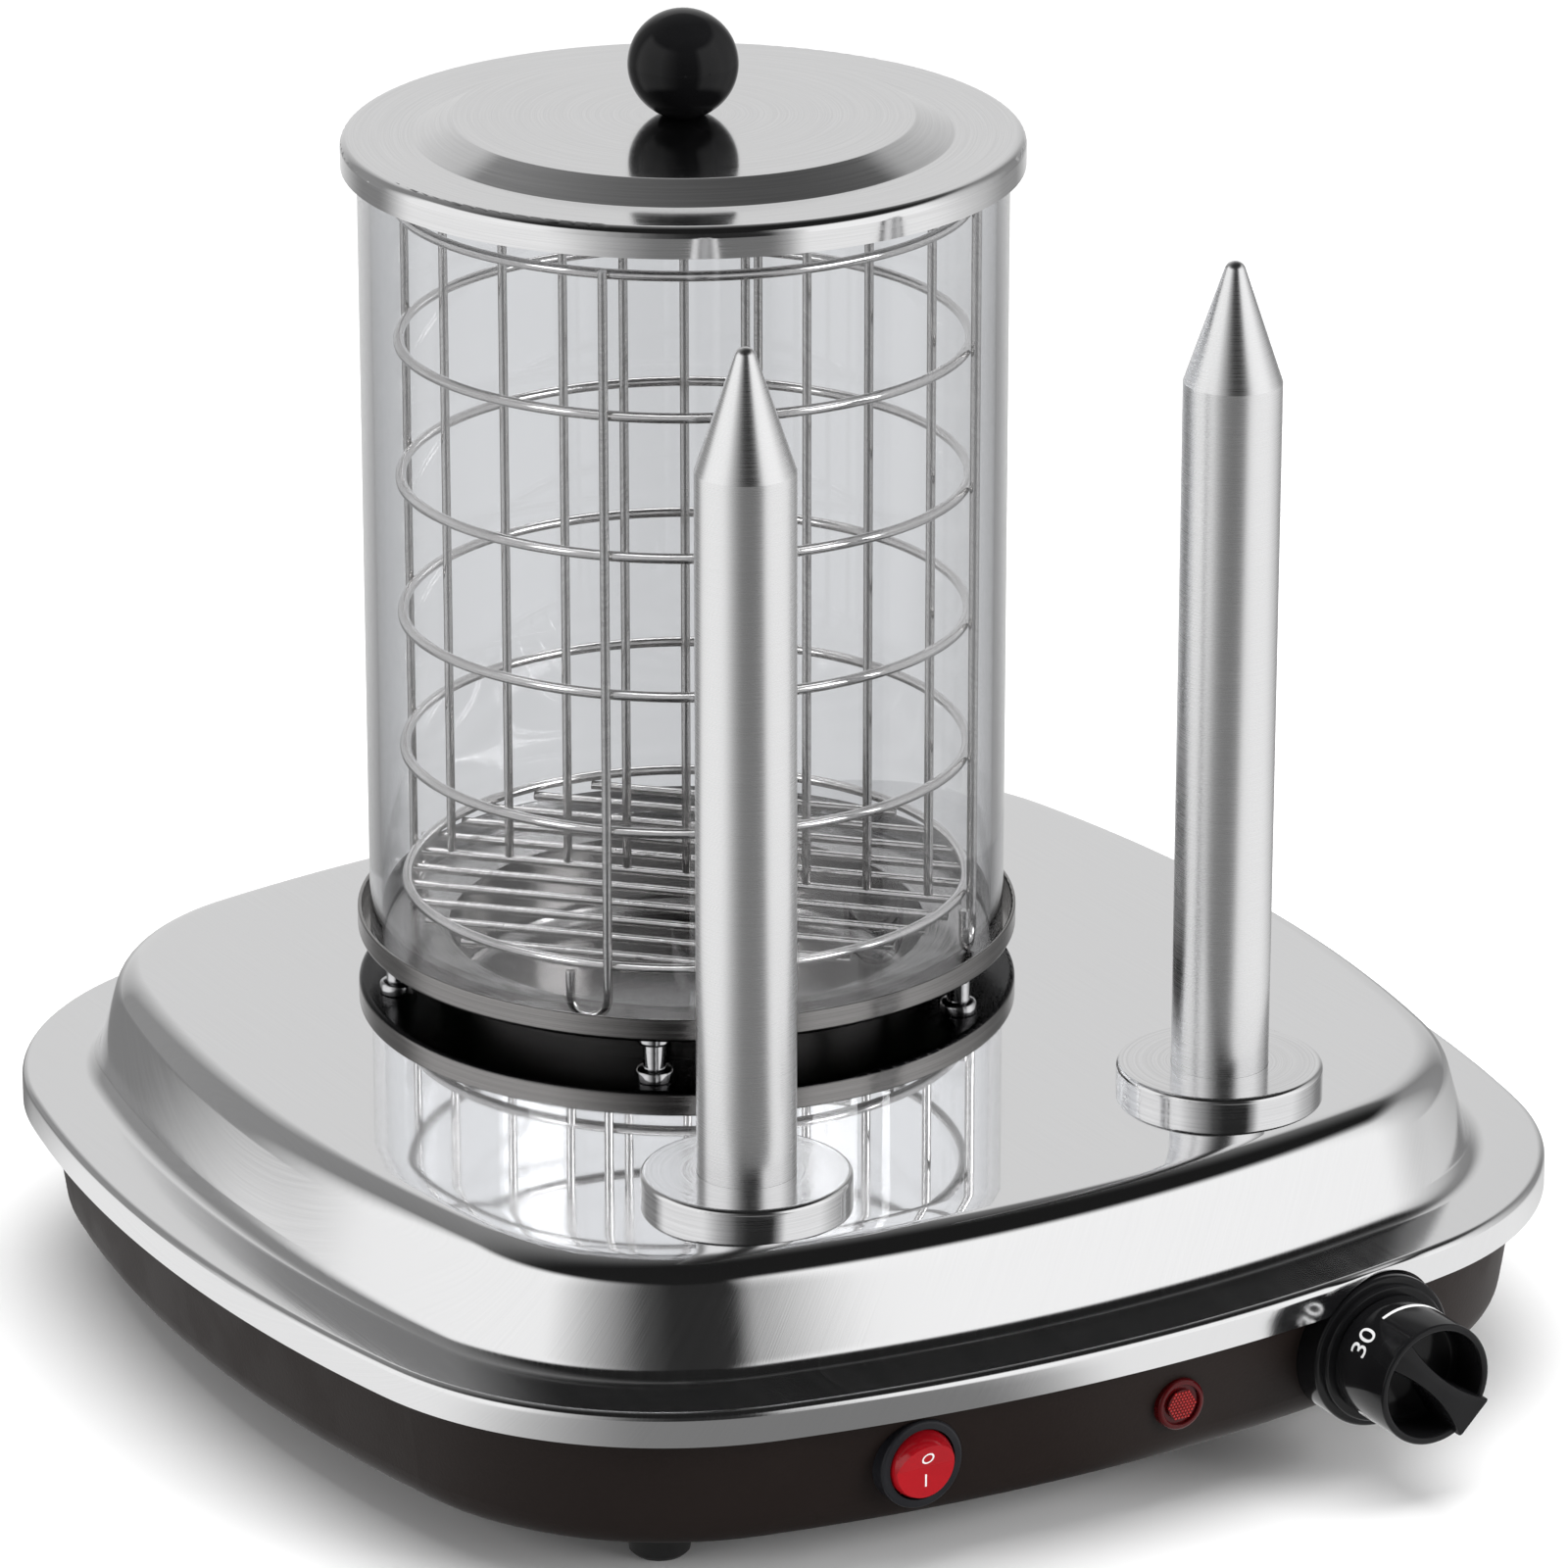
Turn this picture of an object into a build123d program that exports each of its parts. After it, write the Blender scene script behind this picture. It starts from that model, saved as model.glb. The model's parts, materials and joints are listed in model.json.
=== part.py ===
import os
from math import hypot, radians, sin, sqrt
from build123d import *

# Base plan: a square with bowed sides and wide corners, centred on the origin
base_width = 328.0
base_depth = 330.0
side_bow = 24.0
corner_radius = 85.0

# Painted tub
foot_height = 12.0
tub_height = 38.2
tub_wall = 1.2
tub_top_inset = 5.5
tub_bottom_inset = 11.0
tub_bottom_round = 9.0
service_width = 190.0
service_depth = 170.0
service_round = 14.0
plate_overlap = 7.0
plate_thickness = 1.2
vent_length = 46.0
vent_width = 4.0
vent_pitch = 13.0
vent_rows = 7
vent_column_x = 40.0
plate_screw_radius = 2.0
plate_screw_head = 3.6
plate_screw_length = 7.0

# Rubber feet and their screws
foot_x = 96.0
foot_y = 112.0
foot_radius = 8.2
foot_tip_radius = 7.0
foot_screw_radius = 2.0
foot_screw_head = 3.8
foot_screw_recess = 5.0
foot_screw_length = 12.0

# Stainless deck
deck_sheet = 0.8
lip_height = 8.0
lip_round = 3.0
deck_rise = 25.0
wall_foot_inset = 17.0
wall_top_inset = 25.0
shoulder_round = 9.0
cove_round = 5.0

# Steam dish in the deck
dish_y = 42.0
dish_gap = 6.2
dish_radius = 80.0
dish_rim = 6.0
dish_sheet = 1.0
well_radius = 58.0
well_depth = 21.0
well_round = 5.0
deck_hole_clearance = 1.5
stud_count = 5
stud_circle = 75.0
stud_radius = 4.6
heater_ring_radius = 40.0
heater_tube_radius = 4.0
heater_tail_length = 16.0
clamp_thickness = 1.5
clamp_width = 14.0
clamp_stud_radius = 3.0
clamp_nut_width = 10.0
clamp_nut_height = 5.0

# Warming spikes
spike_x = 64.0
spike_y = -96.5
spike_radius = 11.4
spike_wall = 1.4
spike_length = 199.0
cone_length = 34.0
tip_radius = 2.2
collar_radius = 24.2
collar_height = 4.8
collar_round = 1.2
plug_length = 14.0
tail_radius = 7.0
tail_length = 16.0
spike_heater_radius = 4.0
spike_heater_length = 130.0
spike_heater_drop = 8.0
spike_washer_radius = 13.0
spike_washer_thickness = 1.5
spike_nut_width = 22.0
spike_nut_height = 6.0
running_clearance = 0.05

# Glass cylinder
glass_radius = 77.0
glass_wall = 3.0
glass_height = 197.2
glass_edge_round = 0.8

# Lid
lid_radius = 80.8
lid_sheet = 1.0
lid_skirt = 7.2
lid_edge_round = 2.4
lid_slope_outer = 64.0
lid_slope_inner = 54.6
lid_rise = 4.2
ball_radius = 13.1
ball_height = 25.3
lid_screw_radius = 2.0
lid_screw_head = 4.5
lid_screw_head_height = 2.4
lid_screw_depth = 12.0

# Wire basket
ring_radius = 67.8
ring_wire = 1.25
ring_count = 6
ring_pitch = 34.0
basket_foot_drop = 13.4
basket_seat_gap = 0.3
bar_wire = 1.1
weld_gap = 0.03
upright_angle = 45.0
foot_bend = 4.5
floor_pitch = 11.0
floor_bars_each_side = 5
divider_pitch = 15.0
divider_bars = 9

# Controls on the front wall
control_z = 28.5
rocker_x = -53.0
bezel_radius = 10.6
bezel_proud = 2.6
bezel_round = 0.8
rocker_body_radius = 9.4
rocker_depth = 17.0
rocker_floor = 2.0
rocker_bore = 8.5
rocker_ball = 8.2
rocker_pivot_back = 2.0
rocker_face = 3.4
rocker_tilt = 20.0
rocker_back = 3.0
rocker_pin_radius = 1.2
rocker_pin_length = 0.8
blade_width = 4.8
blade_thickness = 0.8
blade_length = 8.0
blade_spacing = 8.0
pilot_x = 14.3
pilot_radius = 6.2
pilot_lens_proud = 2.2
pilot_lens_round = 1.2
pilot_body_radius = 4.6
pilot_depth = 18.0
knob_x = 67.0
knob_z = 31.0
knob_collar_radius = 20.0
knob_collar_proud = 12.0
knob_collar_back = 4.0
knob_collar_round = 2.5
knob_radius = 14.7
knob_length = 21.5
knob_gap = 0.4
knob_recess = 11.0
knob_skin = 1.8
grip_waist = 4.4
grip_flare = 10.0
shaft_radius = 3.0
shaft_in_knob = 8.0
bush_radius = 5.0
bush_proud = 3.0
thermostat_radius = 14.0
thermostat_depth = 16.0
relief_clearance = 0.6

# Mains inlet and terminals
gland_z = 28.0
gland_radius = 7.0
gland_bore = 3.6
gland_flange_radius = 9.5
gland_flange = 2.5
gland_depth = 7.0
block_width = 36.0
block_depth = 16.0
block_height = 13.0
block_y = 100.0
block_ways = 3
block_bore = 2.2

tub_top = foot_height + tub_height
flange_z = tub_top + deck_sheet
lip_bottom = flange_z - lip_height
deck_z = flange_z + deck_rise
dish_floor = deck_z + dish_gap + dish_sheet
dish_top = deck_z + dish_gap + dish_rim
well_bottom = deck_z + dish_gap - well_depth
glass_top = dish_floor + glass_height
lid_flange_z = glass_top + lid_sheet
lid_top = lid_flange_z + lid_rise
ring_low = dish_floor + basket_foot_drop
ring_top = ring_low + (ring_count - 1) * ring_pitch
floor_bar_z = ring_low - ring_wire - bar_wire - weld_gap
upright_radius = ring_radius + ring_wire + bar_wire + weld_gap
dish_axis = Pos(0, dish_y, 0)


def plan(inset, z):
    """Base outline moved inwards by inset, at height z."""
    half_w = base_width / 2
    half_d = base_depth / 2
    x = half_w - side_bow
    y = half_d - side_bow
    sides = [
        ThreePointArc((-x, -y), (0, -half_d), (x, -y)),
        ThreePointArc((x, -y), (half_w, 0), (x, y)),
        ThreePointArc((x, y), (0, half_d), (-x, y)),
        ThreePointArc((-x, y), (-half_w, 0), (-x, -y)),
    ]
    outline = fillet(make_face(sides).vertices(), corner_radius)
    if inset > 0:
        outline = offset(outline, amount=-inset)
    return Pos(0, 0, z) * outline


def front(x, z, y=0.0):
    """Plane on the front side, with its normal pointing out of the panel."""
    return Plane(origin=(x, y, z), x_dir=(1, 0, 0), z_dir=(0, -1, 0))


def tub_form(skin):
    """Tub as a solid, moved inwards by skin, open side up."""
    z_low = foot_height + skin
    solid = loft([plan(tub_bottom_inset + skin, z_low), plan(tub_top_inset + skin, tub_top)], ruled=True)
    rim = solid.edges().filter_by(lambda e: abs(e.center().Z - z_low) < 1e-3)
    return fillet(rim, tub_bottom_round - skin)


def deck_form(skin):
    """Deck as a solid, moved inwards by skin: flange, sloping wall and flat top."""
    z_flange = flange_z - skin
    flange = extrude(plan(skin, lip_bottom), z_flange - lip_bottom)
    top_rim = flange.edges().filter_by(lambda e: abs(e.center().Z - z_flange) < 1e-3)
    flange = fillet(top_rim, lip_round - skin)
    low = plan(wall_foot_inset + skin, z_flange - lip_round)
    dome = loft([low, plan(wall_top_inset + skin, deck_z - skin)], ruled=True)
    shoulder = dome.edges().filter_by(lambda e: abs(e.center().Z - deck_z + skin) < 1e-3)
    dome = fillet(shoulder, shoulder_round - skin)
    solid = flange + dome
    inner_w = base_width / 2 - wall_foot_inset
    inner_d = base_depth / 2 - wall_foot_inset
    cove = [
        e for e in solid.edges().filter_by(lambda e: abs(e.center().Z - z_flange) < 1e-3)
        if abs(e.center().X) < inner_w and abs(e.center().Y) < inner_d
    ]
    return fillet(cove, cove_round + skin)


def spike_places():
    return {"left": Pos(-spike_x, spike_y, 0), "right": Pos(spike_x, spike_y, 0)}


def foot_places():
    return [Pos(sx * foot_x, sy * foot_y, 0) for sx in (-1, 1) for sy in (-1, 1)]


def turned(points):
    """Solid of revolution about Z from (radius, height) points."""
    return revolve(make_face(Polyline(points, close=True)), Axis.Z)


def profile(points):
    """Points of a (radius, height) outline in the XZ plane."""
    return [(r, 0, z) for r, z in points]


def ring(outer, inner, z_low, z_high):
    """Plain ring about Z."""
    return turned(profile([(inner, z_low), (outer, z_low), (outer, z_high), (inner, z_high)]))


def hexagon(width, bore, z_low, height):
    """Hexagon nut about Z, width across flats."""
    blank = extrude(Pos(0, 0, z_low) * RegularPolygon(width / 2, 6, major_radius=False), height)
    return blank - Pos(0, 0, z_low + height / 2) * Cylinder(bore, height * 2)


def wire(path, radius):
    """Round wire along a path."""
    section = Plane(origin=path @ 0, z_dir=path % 0) * Circle(radius)
    return sweep(section, path=path)


def bar(start, end, radius):
    """Straight round bar."""
    return wire(Edge.make_line(start, end), radius)


def make_tub():
    tub = tub_form(0) - tub_form(tub_wall)
    hole = Pos(0, 0, foot_height) * RectangleRounded(service_width, service_depth, service_round)
    tub -= extrude(hole, tub_wall * 2, both=True)
    for place in foot_places():
        tub -= place * Pos(0, 0, foot_height) * Cylinder(foot_screw_radius, tub_wall * 4)
    for x, y in plate_screw_points():
        tub -= Pos(x, y, foot_height) * Cylinder(plate_screw_radius, tub_wall * 4)
    tub -= control_bore(rocker_x, control_z, rocker_body_radius + running_clearance)
    tub -= control_bore(pilot_x, control_z, pilot_body_radius + running_clearance)
    tub -= control_bore(knob_x, knob_z, bush_radius + running_clearance)
    back = Plane(origin=(0, base_depth / 2, gland_z), z_dir=(0, 1, 0)) * Circle(gland_radius + running_clearance)
    return tub - extrude(back, -base_depth / 4)


def control_bore(x, z, radius):
    """Round hole through the front wall."""
    return extrude(front(x, z, -base_depth / 2) * Circle(radius), -base_depth / 4)


def wall_y(x, z, skin):
    """Y of the front wall at (x, z), on the tub form moved inwards by skin."""
    ray = Axis((x, -base_depth, z), (0, 1, 0))
    return min(point.Y for point, _ in tub_form(skin).find_intersection_points(ray))


def plate_screw_points():
    x = service_width / 2 + plate_overlap / 2
    y = service_depth / 2 + plate_overlap / 2
    return [(-x, 0), (x, 0), (0, -y), (0, y)]


def make_bottom_plate():
    size = 2 * plate_overlap
    sheet = RectangleRounded(service_width + size, service_depth + size, service_round + plate_overlap)
    plate = extrude(Pos(0, 0, foot_height - plate_thickness) * sheet, plate_thickness)
    slots = Sketch()
    for side in (-1, 1):
        for row in range(vent_rows):
            y = (row - (vent_rows - 1) / 2) * vent_pitch
            slots += Pos(side * vent_column_x, y) * SlotOverall(vent_length, vent_width)
    plate -= extrude(Pos(0, 0, foot_height) * slots, plate_thickness * 2, both=True)
    for x, y in plate_screw_points():
        plate -= Pos(x, y, foot_height) * Cylinder(plate_screw_radius, plate_thickness * 4)
    return plate


def make_plate_screws():
    z = foot_height - plate_thickness
    shank = plate_screw_radius - running_clearance
    outline = [(0, z - 2), (plate_screw_head, z - 1), (plate_screw_head, z), (shank, z),
               (shank, z + plate_screw_length), (0, z + plate_screw_length)]
    screw = turned(profile(outline))
    return [Pos(x, y, 0) * screw for x, y in plate_screw_points()]


def make_feet():
    head = foot_screw_head + 0.3
    bore = foot_screw_radius
    outline = [(bore, foot_screw_recess), (head, foot_screw_recess), (head, 0), (foot_tip_radius - 1, 0),
               (foot_tip_radius, 1), (foot_radius, foot_height - 2), (foot_radius, foot_height), (bore, foot_height)]
    foot = turned(profile(outline))
    return [place * foot for place in foot_places()]


def make_foot_screws():
    z = foot_screw_recess
    shank = foot_screw_radius - running_clearance
    outline = [(0, z - 2.4), (foot_screw_head - 0.8, z - 2.4), (foot_screw_head, z - 1.4), (foot_screw_head, z),
               (shank, z), (shank, z + foot_screw_length), (0, z + foot_screw_length)]
    screw = turned(profile(outline))
    return [place * screw for place in foot_places()]


def make_deck():
    deck = deck_form(0) - deck_form(deck_sheet)
    hole = well_radius + dish_sheet + deck_hole_clearance
    deck -= dish_axis * Pos(0, 0, deck_z) * Cylinder(hole, deck_sheet * 6)
    for place in spike_places().values():
        deck -= place * Pos(0, 0, deck_z) * Cylinder(tail_radius + running_clearance, deck_sheet * 6)
    relief = front(knob_x, knob_z, -base_depth / 2 - 5) * Circle(knob_collar_radius + relief_clearance)
    return deck - extrude(relief, -base_depth / 5)


def make_dish():
    low = deck_z + dish_gap
    sheet = dish_sheet
    outline = [
        (0, well_bottom), (well_radius + sheet, well_bottom), (well_radius + sheet, low), (dish_radius, low),
        (dish_radius, dish_top), (dish_radius - sheet, dish_top), (dish_radius - sheet, dish_floor),
        (well_radius, dish_floor), (well_radius, well_bottom + sheet), (0, well_bottom + sheet),
    ]
    dish = turned(profile(outline))
    corner = dish.edges().filter_by(GeomType.CIRCLE)
    inner = corner.filter_by(lambda e: abs(e.center().Z - well_bottom - sheet) < 1e-3)
    outer = corner.filter_by(lambda e: abs(e.center().Z - well_bottom) < 1e-3)
    dish = fillet(inner, well_round)
    outer = dish.edges().filter_by(lambda e: abs(e.center().Z - well_bottom) < 1e-3)
    dish = fillet(outer, well_round + sheet)
    rim = dish.edges().filter_by(lambda e: abs(e.center().Z - dish_top) < 1e-3)
    dish = fillet(rim, sheet * 0.4)
    foot = dish.edges().filter_by(
        lambda e: abs(e.center().Z - low) < 1e-3 and e.radius > well_radius + 2 * sheet)
    return dish_axis * fillet(foot, sheet * 1.4)


def make_dish_studs():
    low = deck_z
    top = deck_z + dish_gap
    round_z = low + dish_gap * 0.45
    half = make_face([
        Line((0, 0, low), (stud_radius * 0.62, 0, low)),
        ThreePointArc((stud_radius * 0.62, 0, low), (stud_radius * 0.93, 0, (low + round_z) / 2),
                      (stud_radius, 0, round_z)),
        Line((stud_radius, 0, round_z), (stud_radius * 0.8, 0, top)),
        Line((stud_radius * 0.8, 0, top), (0, 0, top)),
        Line((0, 0, top), (0, 0, low)),
    ])
    stud = revolve(half, Axis.Z)
    turns = [90 + i * 360 / stud_count for i in range(stud_count)]
    return [dish_axis * Rot(0, 0, turn) * Pos(stud_circle, 0, 0) * stud for turn in turns]


def make_boiler_heater():
    z = well_bottom - heater_tube_radius - weld_gap
    gap = 14.0
    loop = CenterArc((0, 0, z), heater_ring_radius, 90 + gap, 360 - 2 * gap)
    coil = wire(loop, heater_tube_radius)
    for end in (0, 1):
        point = loop @ end
        tail_end = (point.X, point.Y + heater_tail_length, z)
        stub = bar((point.X, point.Y, z), tail_end, heater_tube_radius * 0.6)
        coil += stub
    return dish_axis * coil


def make_heater_clamp():
    top = well_bottom - 2 * heater_tube_radius - 2 * weld_gap
    length = 2 * (heater_ring_radius + heater_tube_radius) + 8
    strap = extrude(Pos(0, 0, top - clamp_thickness) * SlotOverall(length, clamp_width), clamp_thickness)
    return dish_axis * (strap - Pos(0, 0, top) * Cylinder(clamp_stud_radius + running_clearance, clamp_thickness * 4))


def make_clamp_stud():
    low = well_bottom - 2 * heater_tube_radius - clamp_thickness - clamp_nut_height - 2
    return dish_axis * ring_solid(clamp_stud_radius, low, well_bottom)


def ring_solid(radius, z_low, z_high):
    """Plain round bar about Z."""
    return turned(profile([(0, z_low), (radius, z_low), (radius, z_high), (0, z_high)]))


def make_clamp_nut():
    z = well_bottom - 2 * heater_tube_radius - 2 * weld_gap - clamp_thickness - clamp_nut_height
    return dish_axis * hexagon(clamp_nut_width, clamp_stud_radius + running_clearance, z, clamp_nut_height)


def make_spike():
    top = deck_z + spike_length
    cone = top - cone_length
    bore = spike_radius - spike_wall
    slope = hypot(cone_length, spike_radius)
    tip_z = top - tip_radius * (slope / spike_radius - 1) * spike_radius / slope
    outline = [
        (bore, deck_z), (spike_radius, deck_z), (spike_radius, cone), (tip_radius, tip_z),
        (0, tip_z), (0, cone - spike_wall), (bore, cone - spike_wall),
    ]
    spike = turned(profile(outline))
    tip = spike.edges().filter_by(lambda e: abs(e.center().Z - tip_z) < 1e-3)
    spike = fillet(tip, tip_radius * 0.8)
    shoulder = spike.edges().filter_by(lambda e: abs(e.center().Z - cone) < 1e-3)
    return fillet(shoulder, spike_radius)


def make_collar():
    collar = ring(collar_radius, spike_radius + running_clearance, deck_z, deck_z + collar_height)
    edge = collar.edges().filter_by(
        lambda e: abs(e.center().Z - deck_z - collar_height) < 1e-3 and e.radius > spike_radius + 1)
    return fillet(edge, collar_round)


def make_plug():
    bore = spike_heater_radius + running_clearance
    body = spike_radius - spike_wall - running_clearance
    outline = [
        (bore, deck_z - tail_length), (tail_radius, deck_z - tail_length), (tail_radius, deck_z),
        (body, deck_z), (body, deck_z + plug_length), (bore, deck_z + plug_length),
    ]
    return turned(profile(outline))


def make_spike_heater():
    low = deck_z - tail_length - spike_heater_drop
    return ring_solid(spike_heater_radius, low, low + spike_heater_length)


def make_washer():
    top = deck_z - deck_sheet
    return ring(spike_washer_radius, tail_radius + running_clearance, top - spike_washer_thickness, top)


def make_spike_nut():
    top = deck_z - deck_sheet - spike_washer_thickness
    return hexagon(spike_nut_width, tail_radius + running_clearance, top - spike_nut_height, spike_nut_height)


def make_glass():
    tube = ring(glass_radius, glass_radius - glass_wall, dish_floor, glass_top)
    return dish_axis * fillet(tube.edges().filter_by(GeomType.CIRCLE), glass_edge_round)


def make_lid():
    sheet = lid_sheet
    z = lid_flange_z
    skirt = z - lid_skirt
    outline = [
        (lid_screw_radius + 0.2, lid_top - sheet), (lid_slope_inner, lid_top - sheet), (lid_slope_outer, z - sheet),
        (lid_radius - sheet, z - sheet), (lid_radius - sheet, skirt), (lid_radius, skirt), (lid_radius, z),
        (lid_slope_outer, z), (lid_slope_inner, lid_top), (lid_screw_radius + 0.2, lid_top),
    ]
    lid = turned(profile(outline))
    edges = lid.edges().filter_by(GeomType.CIRCLE)
    lid = fillet(edges.filter_by(lambda e: abs(e.center().Z - z) < 1e-3 and e.radius > lid_radius - 1e-3),
                 lid_edge_round)
    soft = lid.edges().filter_by(
        lambda e: e.geom_type == GeomType.CIRCLE and lid_slope_inner - 0.1 < e.radius < lid_slope_outer + 0.1)
    return dish_axis * fillet(soft, sheet)


def make_ball():
    centre = lid_top + ball_height - ball_radius
    ball = Pos(0, 0, centre) * Sphere(ball_radius)
    ball = split(ball, Plane.XY.offset(lid_top), keep=Keep.TOP)
    bore = ring_solid(lid_screw_radius + running_clearance, lid_top - 1, lid_top + lid_screw_depth)
    return dish_axis * (ball - bore)


def make_lid_screw():
    seat = lid_top - lid_sheet
    head_low = seat - lid_screw_head_height
    outline = [
        (0, head_low), (lid_screw_head - 1, head_low), (lid_screw_head, head_low + 1), (lid_screw_head, seat),
        (lid_screw_radius, seat), (lid_screw_radius, lid_top + lid_screw_depth - 1),
        (0, lid_top + lid_screw_depth - 1),
    ]
    return dish_axis * turned(profile(outline))


def make_basket_ring(index):
    z = ring_low + index * ring_pitch
    return dish_axis * Pos(0, 0, z) * Torus(ring_radius, ring_wire)


def make_uprights():
    top = ring_top + ring_wire
    low = dish_floor + basket_seat_gap + bar_wire + foot_bend
    back = ring_low - ring_wire
    r = upright_radius
    path = Wire([
        Edge.make_line((r, 0, top), (r, 0, low)),
        Edge.make_three_point_arc((r, 0, low), (r, -foot_bend, low - foot_bend), (r, -2 * foot_bend, low)),
        Edge.make_line((r, -2 * foot_bend, low), (r, -2 * foot_bend, back)),
    ])
    upright = wire(path, bar_wire)
    return [dish_axis * Rot(0, 0, upright_angle + 90 * i) * upright for i in range(4)]


def make_floor_bars():
    bars = []
    for i in range(-floor_bars_each_side, floor_bars_each_side + 1):
        half = sqrt(ring_radius ** 2 - (i * floor_pitch) ** 2)
        line = bar((-half, i * floor_pitch, floor_bar_z), (half, i * floor_pitch, floor_bar_z), bar_wire)
        bars.append(dish_axis * Rot(0, 0, -upright_angle) * line)
    return bars


def make_divider():
    low = floor_bar_z + bar_wire + weld_gap
    rail_z = ring_top + ring_wire + bar_wire + weld_gap
    high = rail_z - bar_wire - weld_gap
    half = ring_radius + ring_wire
    bars = [bar((-half, 0, rail_z), (half, 0, rail_z), bar_wire)]
    for i in range(divider_bars):
        x = (i - (divider_bars - 1) / 2) * divider_pitch
        bars.append(bar((x, 0, low), (x, 0, high), bar_wire))
    return [dish_axis * Rot(0, 0, -upright_angle) * item for item in bars]


def make_rocker_housing():
    seat = wall_y(rocker_x, control_z, 0)
    face = seat - bezel_proud
    bezel = extrude(front(rocker_x, control_z, face) * Circle(bezel_radius), -bezel_proud * 3)
    rim = [e for e in bezel.edges().filter_by(GeomType.CIRCLE) if abs(e.center().Y - face) < 1e-3]
    bezel = fillet(rim, bezel_round) - tub_form(0)
    body = extrude(front(rocker_x, control_z, face) * Circle(rocker_body_radius), -rocker_depth)
    bore_depth = rocker_depth - rocker_floor
    housing = bezel + body - extrude(front(rocker_x, control_z, face) * Circle(rocker_bore), -bore_depth)
    reach = rocker_ball + rocker_pin_length + running_clearance
    pin_bore = Pos(rocker_x, face + rocker_pivot_back, control_z) * Rot(0, 90, 0)
    housing -= pin_bore * Cylinder(rocker_pin_radius + running_clearance, 2 * reach)
    for side in (-1, 1):
        centre = (rocker_x, face + rocker_depth + blade_length / 2, control_z + side * blade_spacing / 2)
        housing += Pos(centre) * Box(blade_width, blade_length, blade_thickness)
    return housing


def make_rocker_button():
    pivot_y = wall_y(rocker_x, control_z, 0) - bezel_proud + rocker_pivot_back
    rise = sqrt(rocker_ball ** 2 - rocker_face ** 2)
    wedge = rocker_ball * sin(radians(rocker_tilt))
    outline = Polyline(
        (0, rocker_back, -rocker_ball), (0, -rocker_face, -rocker_ball), (0, -rocker_face, 0),
        (0, -rocker_face - wedge, rise), (0, -rocker_face - wedge, 2 * rocker_ball),
        (0, rocker_back, 2 * rocker_ball), close=True)
    prism = extrude(make_face(outline), 2 * rocker_ball, both=True, dir=(1, 0, 0))
    button = Sphere(rocker_ball) & prism
    pins = Rot(0, 90, 0) * Cylinder(rocker_pin_radius, 2 * (rocker_ball + rocker_pin_length))
    return Pos(rocker_x, pivot_y, control_z) * (button + pins)


def make_pilot_lens():
    seat = wall_y(pilot_x, control_z, 0)
    face = seat - pilot_lens_proud
    lens = extrude(front(pilot_x, control_z, face) * Circle(pilot_radius), -pilot_lens_proud * 2)
    rim = [e for e in lens.edges().filter_by(GeomType.CIRCLE) if abs(e.center().Y - face) < 1e-3]
    return fillet(rim, pilot_lens_round) - tub_form(0)


def make_pilot_body():
    seat = wall_y(pilot_x, control_z, 0)
    body = extrude(front(pilot_x, control_z, seat) * Circle(pilot_body_radius), -pilot_depth)
    return body - make_pilot_lens()


def make_knob_collar():
    face = wall_y(knob_x, knob_z, 0) - knob_collar_proud
    depth = knob_collar_proud + knob_collar_back
    collar = extrude(front(knob_x, knob_z, face) * Circle(knob_collar_radius), -depth)
    rim = [e for e in collar.edges().filter_by(GeomType.CIRCLE) if abs(e.center().Y - face) < 1e-3]
    collar = fillet(rim, knob_collar_round) - tub_form(0)
    collar -= extrude(plan(tub_top_inset, tub_top), knob_collar_radius)
    bore = front(knob_x, knob_z, face) * Circle(bush_radius + running_clearance)
    collar -= extrude(bore, -depth)
    return max(collar.solids(), key=lambda s: s.volume)


def make_knob():
    face = knob_front()
    plane = front(knob_x, knob_z, face)
    drum = extrude(plane * Circle(knob_radius), -knob_length)
    rims = [e for e in drum.edges().filter_by(GeomType.CIRCLE) if abs(e.center().Y - face) < 1e-3]
    drum = fillet(rims, knob_skin * 0.4)
    inside = knob_radius - knob_skin
    drum -= extrude(plane * Circle(inside), -knob_recess)
    arc_x = (grip_flare - grip_waist) / 2
    grip = make_face([
        ThreePointArc((-grip_flare / 2, -inside), (-grip_waist / 2, 0), (-grip_flare / 2, inside)),
        Line((-grip_flare / 2, inside), (grip_flare / 2, inside)),
        ThreePointArc((grip_flare / 2, inside), (grip_flare / 2 - arc_x, 0), (grip_flare / 2, -inside)),
        Line((grip_flare / 2, -inside), (-grip_flare / 2, -inside)),
    ])
    blade = extrude(plane * grip, -knob_recess - knob_skin) & extrude(plane * Circle(inside + 0.5), -knob_length)
    drum += blade
    back = front(knob_x, knob_z, face + knob_length)
    drum -= extrude(back * Circle(shaft_radius + running_clearance), shaft_in_knob)
    hollow = Circle(knob_radius - knob_skin) - Circle(shaft_radius + 2 * knob_skin)
    return drum - extrude(back * hollow, knob_length - knob_recess - knob_skin * 1.6)


def make_shaft():
    start = wall_y(knob_x, knob_z, 0) - knob_collar_proud - knob_gap - shaft_in_knob + 0.5
    end = wall_y(knob_x, knob_z, tub_wall) + thermostat_depth * 0.5
    return extrude(front(knob_x, knob_z, end) * Circle(shaft_radius), end - start)


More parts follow.
